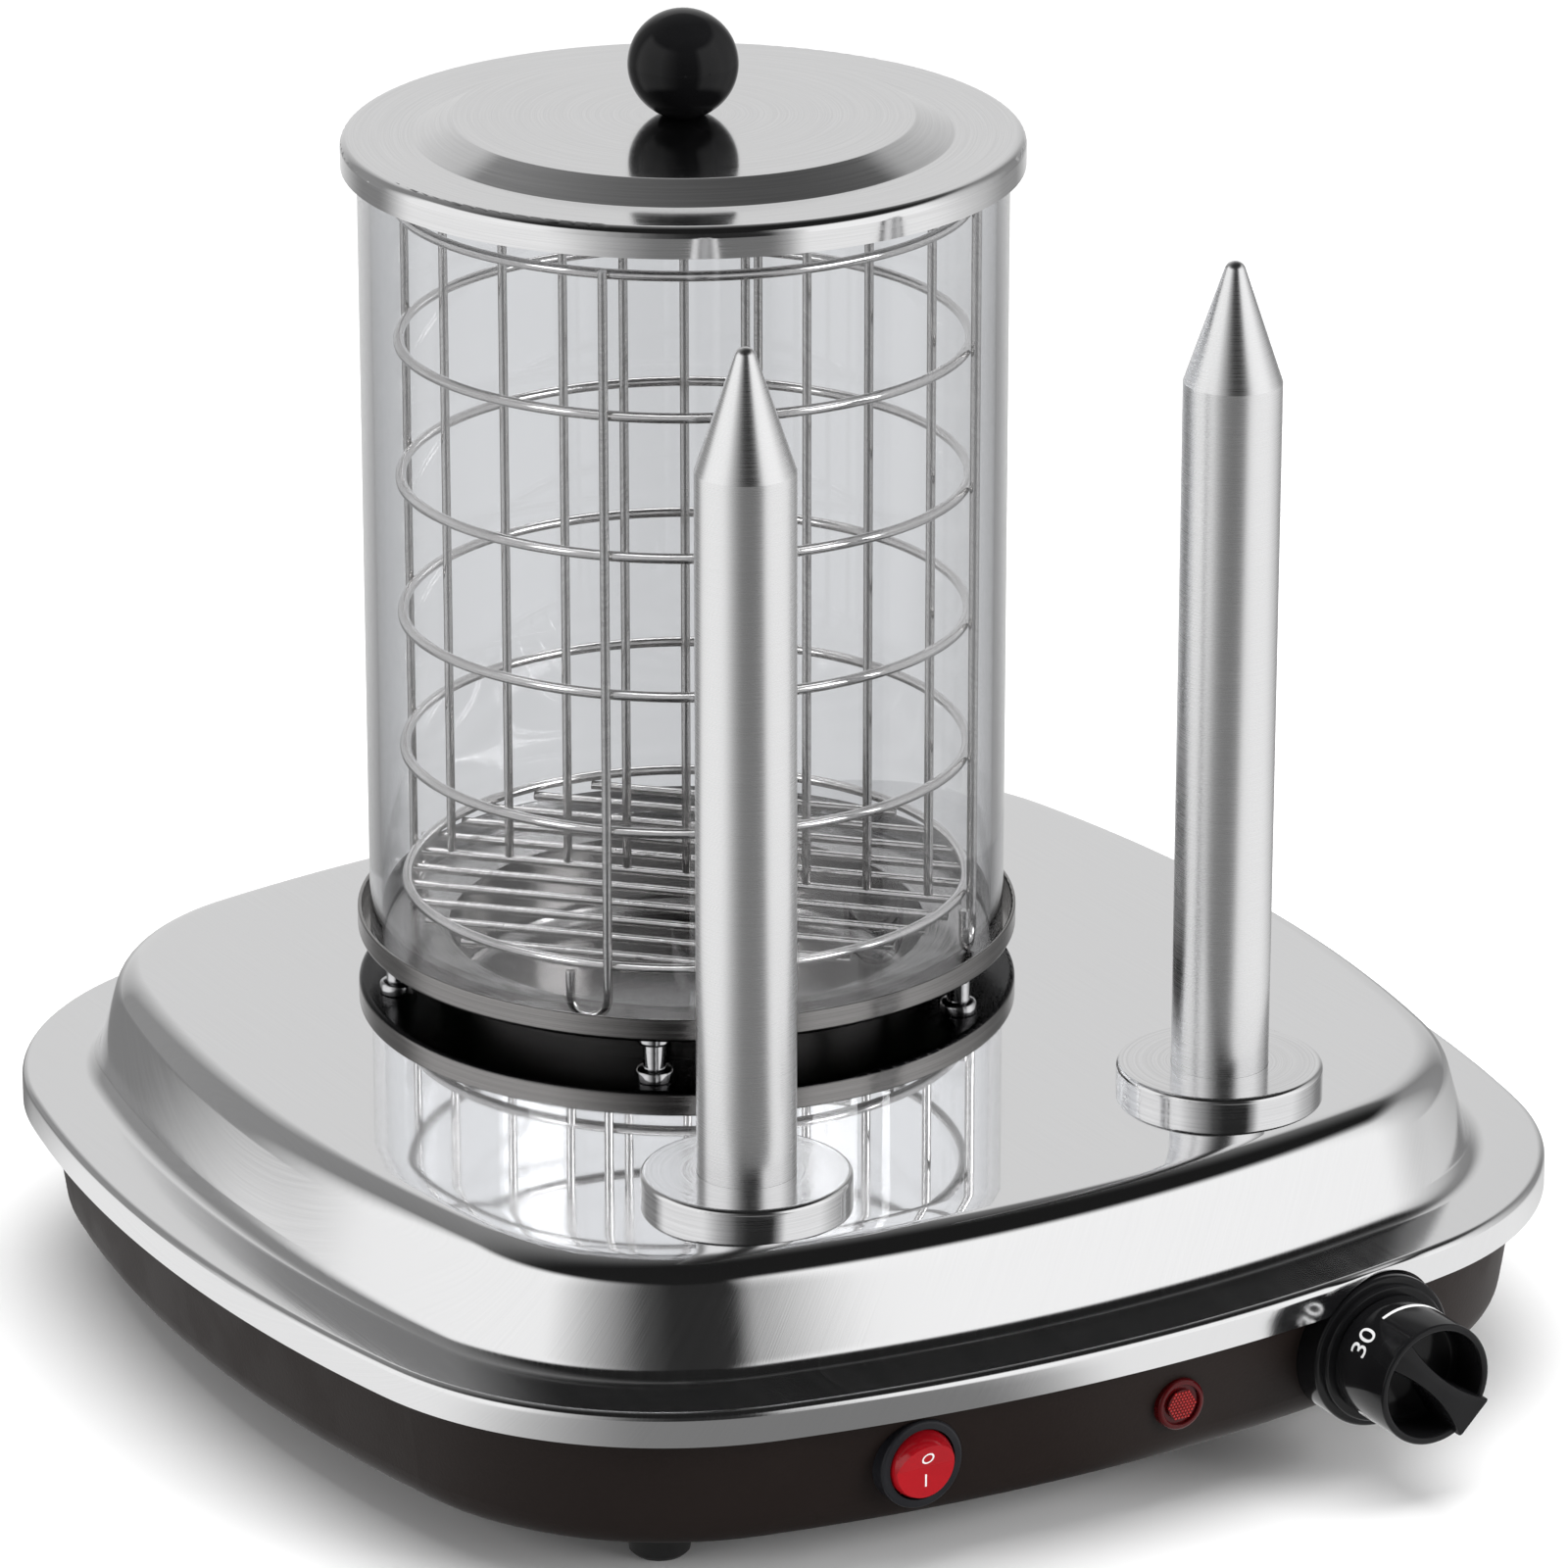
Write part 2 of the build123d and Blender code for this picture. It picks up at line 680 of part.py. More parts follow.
def make_thermostat():
    seat = thermostat_seat()
    plane = front(knob_x, knob_z, seat)
    body = extrude(plane * Circle(thermostat_radius), -thermostat_depth)
    bush_front = wall_y(knob_x, knob_z, 0) - bush_proud
    body += extrude(plane * Circle(bush_radius), seat - bush_front)
    bore = extrude(plane * Circle(shaft_radius + running_clearance), seat - bush_front)
    body -= bore + extrude(plane * Circle(shaft_radius + running_clearance), -thermostat_depth * 0.75)
    for side in (-1, 1):
        centre = (knob_x + side * blade_spacing, seat + thermostat_depth + blade_length / 2, knob_z)
        body += Pos(centre) * Box(blade_width, blade_length, blade_thickness)
    return body


def thermostat_seat():
    """Y of the thermostat's front face, behind the wall over its whole width."""
    heights = (knob_z - thermostat_radius, knob_z, knob_z + thermostat_radius)
    return max(wall_y(knob_x + thermostat_radius, z, tub_wall) for z in heights)


def make_gland():
    wall = base_depth / 2 - tub_top_inset
    ray = Axis((0, base_depth, gland_z), (0, -1, 0))
    wall = max(point.Y for point, _ in tub_form(0).find_intersection_points(ray))
    flange = Plane(origin=(0, wall + gland_flange, gland_z), z_dir=(0, 1, 0))
    gland = extrude(flange * Circle(gland_flange_radius), -2 * gland_flange) - tub_form(0)
    gland += extrude(flange * Circle(gland_radius), -gland_flange - gland_depth)
    return gland - extrude(flange * Circle(gland_bore), -gland_flange - gland_depth)


def make_terminal_block():
    z = foot_height + tub_wall + block_height / 2
    block = Pos(0, block_y, z) * Box(block_width, block_depth, block_height)
    pitch = block_width / block_ways
    for i in range(block_ways):
        x = (i - (block_ways - 1) / 2) * pitch
        block -= Pos(x, block_y, z) * Rot(90, 0, 0) * Cylinder(block_bore, block_depth * 2)
    return block


def all_parts():
    """Every node's name with its solid, or its list of separate solids."""
    nodes = {
        "base_tub": make_tub(),
        "bottom_plate": make_bottom_plate(),
        "bottom_plate_screws": make_plate_screws(),
        "rubber_feet": make_feet(),
        "foot_screws": make_foot_screws(),
        "deck_top": make_deck(),
        "steam_dish": make_dish(),
        "dish_studs": make_dish_studs(),
        "boiler_heater": make_boiler_heater(),
        "heater_clamp": make_heater_clamp(),
        "clamp_stud": make_clamp_stud(),
        "clamp_nut": make_clamp_nut(),
        "spike_washers": [place * make_washer() for place in spike_places().values()],
        "spike_nuts": [place * make_spike_nut() for place in spike_places().values()],
        "rocker_housing": make_rocker_housing(),
        "rocker_button": make_rocker_button(),
        "pilot_lens": make_pilot_lens(),
        "pilot_body": make_pilot_body(),
        "knob_collar": make_knob_collar(),
        "thermostat_knob": make_knob(),
        "thermostat_shaft": make_shaft(),
        "thermostat_body": make_thermostat(),
        "cord_gland": make_gland(),
        "terminal_block": make_terminal_block(),
        "glass_cylinder": make_glass(),
        "lid_pan": make_lid(),
        "lid_ball_knob": make_ball(),
        "lid_knob_screw": make_lid_screw(),
        "basket_uprights": make_uprights(),
        "basket_floor_bars": make_floor_bars(),
        "basket_divider": make_divider(),
    }
    for side, place in spike_places().items():
        nodes[f"spike_{side}"] = place * make_spike()
        nodes[f"spike_collar_{side}"] = place * make_collar()
        nodes[f"spike_plug_{side}"] = place * make_plug()
        nodes[f"spike_heater_{side}"] = place * make_spike_heater()
    for i in range(ring_count):
        nodes[f"basket_ring_{i + 1}"] = make_basket_ring(i)
    return nodes


def knob_front():
    """Y of the knob's front face, the foremost point of the machine."""
    return wall_y(knob_x, knob_z, 0) - knob_collar_proud - knob_gap - knob_length


middle_y = (base_depth / 2 + knob_front()) / 2
centred = Pos(0, -middle_y, 0)

os.makedirs("parts", exist_ok=True)
for name, solid in all_parts().items():
    if isinstance(solid, list):
        placed = Compound(children=[centred * item.solid() for item in solid])
    else:
        placed = centred * solid
    export_step(placed, f"parts/{name}.step")

rocker_pivot_y = wall_y(rocker_x, control_z, 0) - bezel_proud + rocker_pivot_back - middle_y
print("rocker pivot", [rocker_x, round(rocker_pivot_y, 3), control_z])
print("knob front", [knob_x, round(knob_front() - middle_y, 3), knob_z])
print("dish axis", [0, round(dish_y - middle_y, 3)], "dish floor", round(dish_floor, 3))
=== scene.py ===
import json
import math

import bmesh
import bpy
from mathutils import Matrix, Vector


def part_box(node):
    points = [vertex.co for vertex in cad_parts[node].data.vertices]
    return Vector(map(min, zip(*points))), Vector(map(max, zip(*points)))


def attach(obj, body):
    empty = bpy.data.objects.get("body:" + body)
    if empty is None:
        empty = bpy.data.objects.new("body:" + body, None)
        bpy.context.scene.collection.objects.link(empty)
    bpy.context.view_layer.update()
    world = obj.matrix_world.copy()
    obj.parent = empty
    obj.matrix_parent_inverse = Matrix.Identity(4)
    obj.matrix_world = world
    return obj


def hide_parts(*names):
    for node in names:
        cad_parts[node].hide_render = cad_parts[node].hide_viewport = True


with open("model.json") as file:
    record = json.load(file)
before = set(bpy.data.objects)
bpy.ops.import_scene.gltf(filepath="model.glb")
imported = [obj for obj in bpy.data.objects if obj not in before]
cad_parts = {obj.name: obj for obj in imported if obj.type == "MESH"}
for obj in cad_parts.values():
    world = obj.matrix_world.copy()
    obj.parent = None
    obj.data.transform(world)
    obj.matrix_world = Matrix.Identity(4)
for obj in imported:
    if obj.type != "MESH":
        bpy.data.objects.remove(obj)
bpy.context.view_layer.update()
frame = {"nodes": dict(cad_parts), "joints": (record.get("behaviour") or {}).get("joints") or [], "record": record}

mm = 0.001
nodes = frame["nodes"]
joints = {joint["name"]: joint for joint in frame["joints"]}
print("frame loaded with", len(nodes), "nodes")


# Middle of a node's box
def middle(node):
    low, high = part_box(node)
    return (low + high) / 2


dishAxis = middle("steam_dish")
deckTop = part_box("deck_top")[1].z
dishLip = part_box("steam_dish")[1].z


# Shader helpers

def addNode(tree, kind, **settings):
    node = tree.nodes.new(kind)
    for name, value in settings.items():
        setattr(node, name, value)
    return node


def setInputs(node, **values):
    for name, value in values.items():
        node.inputs[name].default_value = value
    return node


# A source socket eased from one range to another
def stretch(tree, source, low, high, toLow, toHigh):
    node = addNode(tree, "ShaderNodeMapRange", interpolation_type="SMOOTHSTEP")
    tree.links.new(source, node.inputs["Value"])
    for name, value in zip(("From Min", "From Max", "To Min", "To Max"), (low, high, toLow, toHigh)):
        node.inputs[name].default_value = value
    return node.outputs["Result"]


# Two values joined by a maths operation; either may be a socket or a number
def maths(tree, operation, first, second=0.0):
    node = addNode(tree, "ShaderNodeMath", operation=operation)
    for socket, value in zip(node.inputs, (first, second)):
        if isinstance(value, (int, float)):
            socket.default_value = value
        else:
            tree.links.new(value, socket)
    return node.outputs[0]


# A colour between two, by a mask
def tint(tree, mask, first, second):
    node = addNode(tree, "ShaderNodeMix", data_type="RGBA")
    tree.links.new(mask, node.inputs[0])
    for socket, value in ((node.inputs[6], first), (node.inputs[7], second)):
        if isinstance(value, tuple):
            socket.default_value = (*value, 1.0)
        else:
            tree.links.new(value, socket)
    return node.outputs[2]


def addBump(tree, shader, height, distance):
    bump = setInputs(addNode(tree, "ShaderNodeBump"), Distance=distance, Strength=1.0)
    tree.links.new(height, bump.inputs["Height"])
    tree.links.new(bump.outputs["Normal"], shader.inputs["Normal"])


def newFinish(name, **settings):
    material = bpy.data.materials.new(name)
    material.use_nodes = True
    tree = material.node_tree
    shader = tree.nodes["Principled BSDF"]
    for label, value in settings.items():
        shader.inputs[label].default_value = value
    return material, tree, shader


# Shared effects

def newEffect(name, inputs, outputs):
    group = bpy.data.node_groups.new(name, "ShaderNodeTree")
    for label, value in inputs.items():
        kind = "NodeSocketFloat" if isinstance(value, float) else "NodeSocketVector"
        group.interface.new_socket(label, in_out="INPUT", socket_type=kind).default_value = value
    for label in outputs:
        group.interface.new_socket(label, in_out="OUTPUT", socket_type="NodeSocketFloat")
    start = addNode(group, "NodeGroupInput")
    end = addNode(group, "NodeGroupOutput")
    return group, start, end


# Fine lines that follow a turned or wrapped surface: they vary with height and with distance from an axis
def makeTurnedLines():
    group, start, end = newEffect(
        "turnedLines", {"Axis": (0.0, 0.0, 0.0), "Along": 30.0, "Across": 4000.0}, ("Lines",))
    place = addNode(group, "ShaderNodeTexCoord")
    shift = addNode(group, "ShaderNodeVectorMath", operation="SUBTRACT")
    group.links.new(place.outputs["Object"], shift.inputs[0])
    group.links.new(start.outputs["Axis"], shift.inputs[1])
    split = addNode(group, "ShaderNodeSeparateXYZ")
    group.links.new(shift.outputs[0], split.inputs[0])
    flat = addNode(group, "ShaderNodeCombineXYZ")
    stretched = addNode(group, "ShaderNodeCombineXYZ")
    for axis in ("X", "Y"):
        group.links.new(split.outputs[axis], flat.inputs[axis])
        run = maths(group, "MULTIPLY", split.outputs[axis], start.outputs["Along"])
        group.links.new(run, stretched.inputs[axis])
    radius = addNode(group, "ShaderNodeVectorMath", operation="LENGTH")
    group.links.new(flat.outputs[0], radius.inputs[0])
    across = maths(group, "ADD", split.outputs["Z"], radius.outputs["Value"])
    group.links.new(maths(group, "MULTIPLY", across, start.outputs["Across"]), stretched.inputs["Z"])
    lines = setInputs(addNode(group, "ShaderNodeTexNoise"), Scale=1.0, Detail=3.0)
    group.links.new(stretched.outputs[0], lines.inputs["Vector"])
    group.links.new(lines.outputs["Fac"], end.inputs["Lines"])
    return group


smudgeRange = (0.38, 0.68)


# Soft patches of handling and fine specks over them
def makeHandling():
    group, start, end = newEffect("handling", {"Patch": 30.0, "Speck": 900.0}, ("Smudge", "Specks"))
    place = addNode(group, "ShaderNodeTexCoord")
    smudge = setInputs(addNode(group, "ShaderNodeTexNoise"), Detail=4.0)
    group.links.new(place.outputs["Object"], smudge.inputs["Vector"])
    group.links.new(start.outputs["Patch"], smudge.inputs["Scale"])
    group.links.new(stretch(group, smudge.outputs["Fac"], *smudgeRange, 0.0, 1.0), end.inputs["Smudge"])
    speck = setInputs(addNode(group, "ShaderNodeTexNoise"), Detail=2.0)
    group.links.new(place.outputs["Object"], speck.inputs["Vector"])
    group.links.new(start.outputs["Speck"], speck.inputs["Scale"])
    group.links.new(speck.outputs["Fac"], end.inputs["Specks"])
    return group


turnedLines = makeTurnedLines()
handling = makeHandling()


def addEffect(tree, group, **values):
    node = addNode(tree, "ShaderNodeGroup", node_tree=group)
    return setInputs(node, **values)


# Finishes

metalLook = {"patch": 26.0, "shade": (0.25, 0.75), "grain": (0.3, 0.7), "haze": 0.25}


# Metal with fine lines round an axis, from dark to colour
def lineMetal(name, colour, dark, rough, axis, along=30.0, across=4000.0, depth=0.000012):
    look = metalLook
    material, tree, shader = newFinish(name, Metallic=1.0)
    effect = addEffect(tree, turnedLines, Axis=axis, Along=along, Across=across)
    marks = addEffect(tree, handling, Patch=look["patch"])
    shade = stretch(tree, effect.outputs["Lines"], *look["shade"], 0.0, 1.0)
    tree.links.new(tint(tree, shade, dark, colour), shader.inputs["Base Color"])
    low, high = rough
    haze = maths(tree, "MULTIPLY", marks.outputs["Smudge"], look["haze"] * (high - low))
    grain = stretch(tree, effect.outputs["Lines"], *look["grain"], low, high)
    tree.links.new(maths(tree, "ADD", grain, haze), shader.inputs["Roughness"])
    addBump(tree, shader, effect.outputs["Lines"], depth)
    return material


plasticPatch = 45.0


def plasticFinish(name, colour, pale, rough, bump=0.00002, speck=900.0, shine=0.5):
    material, tree, shader = newFinish(name, **{"Specular IOR Level": shine})
    marks = addEffect(tree, handling, Patch=plasticPatch, Speck=speck)
    tree.links.new(tint(tree, marks.outputs["Smudge"], colour, pale), shader.inputs["Base Color"])
    low, high = rough
    tree.links.new(stretch(tree, marks.outputs["Smudge"], 0.0, 1.0, low, high), shader.inputs["Roughness"])
    addBump(tree, shader, marks.outputs["Specks"], bump)
    return material


deckLook = {
    "colour": (0.9, 0.9, 0.905), "dark": (0.83, 0.83, 0.835), "mirror": (0.025, 0.06),
    "satin": (0.091, 0.169), "band": (9 * mm, 0.1 * mm), "pitch": 4200.0, "run": 26.0, "lean": 0.6,
    "grain": (0.25, 0.75), "patch": 14.0, "depth": 0.000006,
}


# Mirror top; the wall and lip keep the sheet's grain, which runs from front to back over the press form
def deckFinish():
    look = deckLook
    material, tree, shader = newFinish("deckSteel", Metallic=1.0)
    marks = addEffect(tree, handling, Patch=look["patch"])
    place = addNode(tree, "ShaderNodeTexCoord")
    split = addNode(tree, "ShaderNodeSeparateXYZ")
    tree.links.new(place.outputs["Object"], split.inputs[0])
    leaning = maths(tree, "MULTIPLY", split.outputs["Z"], look["lean"])
    across = maths(tree, "SUBTRACT", split.outputs["X"], leaning)
    drawn = addNode(tree, "ShaderNodeCombineXYZ")
    tree.links.new(maths(tree, "MULTIPLY", across, look["pitch"]), drawn.inputs["X"])
    for axis in ("Y", "Z"):
        tree.links.new(maths(tree, "MULTIPLY", split.outputs[axis], look["run"]), drawn.inputs[axis])
    grain = setInputs(addNode(tree, "ShaderNodeTexNoise"), Scale=1.0, Detail=3.0)
    tree.links.new(drawn.outputs[0], grain.inputs["Vector"])
    lowest, highest = look["band"]
    top = stretch(tree, split.outputs["Z"], deckTop - lowest, deckTop - highest, 0.0, 1.0)
    side = maths(tree, "SUBTRACT", 1.0, top)
    shade = tint(tree, grain.outputs["Fac"], look["dark"], look["colour"])
    tree.links.new(shade, shader.inputs["Base Color"])
    satin = stretch(tree, grain.outputs["Fac"], *look["grain"], *look["satin"])
    mirror = stretch(tree, marks.outputs["Smudge"], 0.0, 1.0, *look["mirror"])
    rough = maths(tree, "ADD", maths(tree, "MULTIPLY", satin, side), maths(tree, "MULTIPLY", mirror, top))
    tree.links.new(rough, shader.inputs["Roughness"])
    addBump(tree, shader, maths(tree, "MULTIPLY", grain.outputs["Fac"], side), look["depth"])
    return material


glassLook = {
    "clear": (0.905, 0.913, 0.927), "touched": (0.895, 0.903, 0.917), "haze": 0.012, "touchStart": 0.2,
    "depth": 0.000004, "patch": 12.0, "wave": 60.0,
}


# Clear glass with faint smears and slight waves
def glassFinish():
    look = glassLook
    material, tree, shader = newFinish("clearGlass", IOR=1.47, Metallic=0.0)
    shader.inputs["Transmission Weight"].default_value = 1.0
    marks = addEffect(tree, handling, Patch=look["patch"], Speck=look["wave"])
    smear = marks.outputs["Smudge"]
    tree.links.new(tint(tree, smear, look["clear"], look["touched"]), shader.inputs["Base Color"])
    haze = stretch(tree, smear, look["touchStart"], 1.0, 0.0, look["haze"])
    tree.links.new(haze, shader.inputs["Roughness"])
    addBump(tree, shader, marks.outputs["Specks"], look["depth"])
    return material


axisPoint = (0.0, dishAxis.y, 0.0)
leftSpike = (*middle("spike_left")[:2], 0.0)
rightSpike = (*middle("spike_right")[:2], 0.0)
# The near-black colour is painted shade for the dish's downward faces
dishLook = {"soot": (0.012, 0.012, 0.013), "facing": (-0.6, -0.3)}


# Dark brushed steel, with painted shade: nearly black where it faces down, under the dish
def dishFinish():
    look = dishLook
    material = lineMetal("dishSteel", (0.34, 0.33, 0.325), (0.25, 0.245, 0.24), (0.14, 0.24), axisPoint,
                         along=8.0, depth=0.000003)
    tree = material.node_tree
    base = tree.nodes["Principled BSDF"].inputs["Base Color"]
    facing = addNode(tree, "ShaderNodeNewGeometry")
    split = addNode(tree, "ShaderNodeSeparateXYZ")
    tree.links.new(facing.outputs["True Normal"], split.inputs[0])
    # Painted shade: faces that point down turn nearly black, as the shade under the dish
    under = stretch(tree, split.outputs["Z"], *look["facing"], 1.0, 0.0)
    tree.links.new(tint(tree, under, base.links[0].from_socket, look["soot"]), base)
    return material


def collarFinish(name, axis):
    return lineMetal(name, (0.9, 0.9, 0.905), (0.76, 0.76, 0.765), (0.07, 0.17), axis,
                     along=14.0, across=2600.0, depth=0.000004)


def spikeFinish(name, axis):
    return lineMetal(name, (0.92, 0.92, 0.925), (0.84, 0.84, 0.845), (0.23, 0.32), axis,
                     along=9.0, across=5600.0, depth=0.000003)


finishes = {
    "stainless_sheet": deckFinish(),
    "clear_glass": glassFinish(),
    "lid_steel": lineMetal("lidSteel", (0.88, 0.88, 0.885), (0.79, 0.79, 0.795), (0.06, 0.13), axisPoint,
                           depth=0.000003),
    "dish_steel": dishFinish(),
    "wire_steel": lineMetal("wireSteel", (0.56, 0.55, 0.54), (0.4, 0.39, 0.38), (0.07, 0.15), axisPoint,
                            depth=0.000004),
    "collar_steel": collarFinish("collarLeft", leftSpike),
    "bright_hardware": lineMetal("brightHardware", (0.78, 0.78, 0.79), (0.68, 0.68, 0.69), (0.05, 0.12),
                                 axisPoint),
    "zinc_plate": lineMetal("zincPlate", (0.58, 0.59, 0.6), (0.46, 0.47, 0.48), (0.3, 0.45), axisPoint,
                            across=900.0),
    "zinc_hardware": lineMetal("zincHardware", (0.62, 0.62, 0.62), (0.5, 0.5, 0.5), (0.25, 0.4), axisPoint),
    "heater_sheath": lineMetal("heaterSheath", (0.4, 0.39, 0.38), (0.3, 0.29, 0.28), (0.35, 0.5), axisPoint),
    "thermostat_case": lineMetal("thermostatCase", (0.64, 0.64, 0.65), (0.54, 0.54, 0.55), (0.3, 0.4),
                                 axisPoint),
    "spike_aluminium": spikeFinish("spikeLeft", leftSpike),
    "painted_tub": plasticFinish("tubPaint", (0.0135, 0.009, 0.0078), (0.0145, 0.0098, 0.0085), (0.5, 0.56),
                                 bump=0.00004, speck=1300.0, shine=0.16),
    "rubber_black": plasticFinish("footRubber", (0.014, 0.014, 0.014), (0.022, 0.021, 0.02), (0.65, 0.8)),
    "switch_black": plasticFinish("switchNylon", (0.012, 0.0125, 0.015), (0.018, 0.0185, 0.021), (0.3, 0.42),
                                  shine=0.25),
    "knob_black": plasticFinish("knobGloss", (0.006, 0.006, 0.0065), (0.009, 0.009, 0.0095), (0.07, 0.13),
                                bump=0.000003, shine=0.2),
    "rocker_red": plasticFinish("rockerRed", (0.36, 0.006, 0.011), (0.31, 0.005, 0.01), (0.06, 0.12),
                                bump=0.000003),
    "lamp_red": plasticFinish("lampRed", (0.06, 0.002, 0.003), (0.048, 0.0015, 0.002), (0.1, 0.18),
                              bump=0.000004, shine=0.3),
    "lamp_body": plasticFinish("lampBody", (0.3, 0.29, 0.27), (0.34, 0.33, 0.31), (0.4, 0.5)),
    "terminal_plastic": plasticFinish("terminalIvory", (0.74, 0.73, 0.68), (0.68, 0.67, 0.62), (0.38, 0.5)),
}
rightSide = {
    "spike_right": spikeFinish("spikeRight", rightSpike),
    "spike_collar_right": collarFinish("collarRight", rightSpike),
    "spike_plug_right": collarFinish("plugRight", rightSpike),
}
for record in frame["record"]["subparts"]:
    node = nodes[record["node"]]
    node.data.materials.clear()
    node.data.materials.append(rightSide.get(record["node"], finishes[record["material_slot"]]))
print("finishes placed:", len(finishes))


# Mesh helpers

weld = 1e-7
cornerShare = 0.49


def meshPiece(name, points, faces, sharp=40.0):
    mesh = bpy.data.meshes.new(name)
    mesh.from_pydata(points, [], faces)
    form = bmesh.new()
    form.from_mesh(mesh)
    bmesh.ops.remove_doubles(form, verts=form.verts, dist=weld)
    bmesh.ops.recalc_face_normals(form, faces=form.faces)
    form.to_mesh(mesh)
    form.free()
    mesh.shade_smooth()
    mesh.set_sharp_from_angle(angle=math.radians(sharp))
    piece = bpy.data.objects.new(name, mesh)
    bpy.context.scene.collection.objects.link(piece)
    return piece


# Quads between rows of points; each row is a closed loop, and the rows may close on themselves too
def loopFaces(rowCount, columns, closed):
    faces = []
    last = rowCount if closed else rowCount - 1
    for row in range(last):
        here = row * columns
        there = (row + 1) % rowCount * columns
        for column in range(columns):
            side = (column + 1) % columns
            faces.append((here + column, here + side, there + side, there + column))
    return faces


# Corners as (a, b, round), joined by straight runs with the corners rounded; no arc takes more of a run than
# cornerShare
def softPath(corners, steps=10):
    path = []
    for i, (a, b, rounding) in enumerate(corners):
        here = Vector((a, b))
        if rounding <= 0:
            path.append(here)
            continue
        before = Vector(corners[i - 1][:2]) - here
        after = Vector(corners[i + 1][:2]) - here
        half = before.angle(after) / 2
        reach = min(rounding / math.tan(half), cornerShare * before.length, cornerShare * after.length)
        centre = here + (before.normalized() + after.normalized()).normalized() * (reach / math.cos(half))
        first = here + before.normalized() * reach - centre
        final = here + after.normalized() * reach - centre
        whole = first.angle(final)
        for k in range(steps + 1):
            share = k / steps
            arm = first * math.sin((1 - share) * whole) + final * math.sin(share * whole)
            path.append(centre + arm / math.sin(whole))
    return path


# A solid of revolution: each row of the profile is a radius and a height, and place puts them in space
def turned(name, profile, place, columns=64, closed=False, sharp=40.0):
    points = []
    for radius, height in profile:
        points += [place(radius, height, math.tau * k / columns) for k in range(columns)]
    return meshPiece(name, points, loopFaces(len(profile), columns, closed), sharp)


# Places for pieces whose axis points out of the front
def outOfFront(x, y, z):
    return lambda radius, height, turn: (x + radius * math.cos(turn), y - height, z + radius * math.sin(turn))


# Places for pieces whose axis is upright
def upright(x, y):
    return lambda radius, height, turn: (x + radius * math.cos(turn), y + radius * math.sin(turn), height)


# Material and body for a piece, and the nodes that it stands for
def dress(piece, body, slotName, material, *replaced):
    piece.data.materials.append(material)
    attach(piece, body)
    if replaced:
        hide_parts(*replaced)
    return piece


# Pressed deck

deckShape = {
    "bow": 24 * mm, "corner": 85 * mm, "lip": 8 * mm, "lipRound": 3 * mm, "wallFoot": 17.86 * mm,
    "wallTop": 25 * mm, "shoulder": 9 * mm, "cove": 5 * mm, "sheet": 0.8 * mm, "hole": 60.5 * mm,
    "relief": 0.6 * mm, "lipStraight": 4 * mm, "foldEdge": 0.2 * mm, "flat": 14 * mm, "sidePoints": 70,
    "cornerPoints": 40, "topRows": 5, "sharp": 35.0,
}
deckLow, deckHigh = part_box("deck_top")
knobPlace = Vector(joints["thermostat_turn"]["pos_m"])
collarShape = {
    "radius": 18.4 * mm, "neck": 16.6 * mm, "step": 1.6 * mm, "round": 1.4 * mm, "neckRound": 0.7 * mm,
    "bore": 5.4 * mm, "arcSteps": 6, "columns": 96,
}


# One quarter of the base outline, moved inwards, from the middle of the front to the middle of the right side
def deckQuarter(inset):
    shape = deckShape
    halfWidth = (deckHigh.x - deckLow.x) / 2
    halfDepth = (deckHigh.y - deckLow.y) / 2
    bow = shape["bow"]
    frontRadius = ((halfWidth - bow) ** 2 + bow ** 2) / (2 * bow)
    sideRadius = ((halfDepth - bow) ** 2 + bow ** 2) / (2 * bow)
    frontCentre = Vector((0.0, frontRadius - halfDepth))
    sideCentre = Vector((halfWidth - sideRadius, 0.0))
    frontReach = frontRadius - shape["corner"]
    sideReach = sideRadius - shape["corner"]
    apart = sideCentre - frontCentre
    gap = apart.length
    along = (frontReach ** 2 - sideReach ** 2 + gap ** 2) / (2 * gap)
    offset = math.sqrt(frontReach ** 2 - along ** 2)
    unit = apart / gap
    cornerCentre = frontCentre + unit * along + Vector((-unit.y, unit.x)) * offset
    frontTurn = math.atan2(*(cornerCentre - frontCentre).yx)
    sideTurn = math.atan2(*(cornerCentre - sideCentre).yx)
    arcs = (
        (frontCentre, frontRadius, -math.pi / 2, frontTurn, shape["sidePoints"]),
        (cornerCentre, shape["corner"], frontTurn, sideTurn, shape["cornerPoints"]),
        (sideCentre, sideRadius, sideTurn, 0.0, shape["sidePoints"]),
    )
    points = []
    for centre, radius, start, end, count in arcs:
        for k in range(count):
            turn = start + (end - start) * k / count
            points.append(centre + Vector((math.cos(turn), math.sin(turn))) * (radius - inset))
    points.append(sideCentre + Vector((sideRadius - inset, 0.0)))
    return points


# The whole outline, moved inwards
def deckRing(inset):
    quarter = deckQuarter(inset)
    ring = list(quarter)
    ring += [Vector((p.x, -p.y)) for p in reversed(quarter[:-1])]
    ring += [Vector((-p.x, -p.y)) for p in quarter[1:]]
    ring += [Vector((-p.x, p.y)) for p in reversed(quarter[1:-1])]
    return ring


# The lip's lower edge arches over the knob's collar
def lipLift(point, z, lipLow, lipFold):
    radius = collarShape["radius"] + deckShape["relief"]
    across = point.x - knobPlace.x
    if point.y > 0 or abs(across) >= radius or z >= lipFold:
        return z
    arch = knobPlace.z + math.sqrt(radius ** 2 - across ** 2)
    lift = max(0.0, arch - lipLow)
    return z + lift * (lipFold - z) / (lipFold - lipLow)


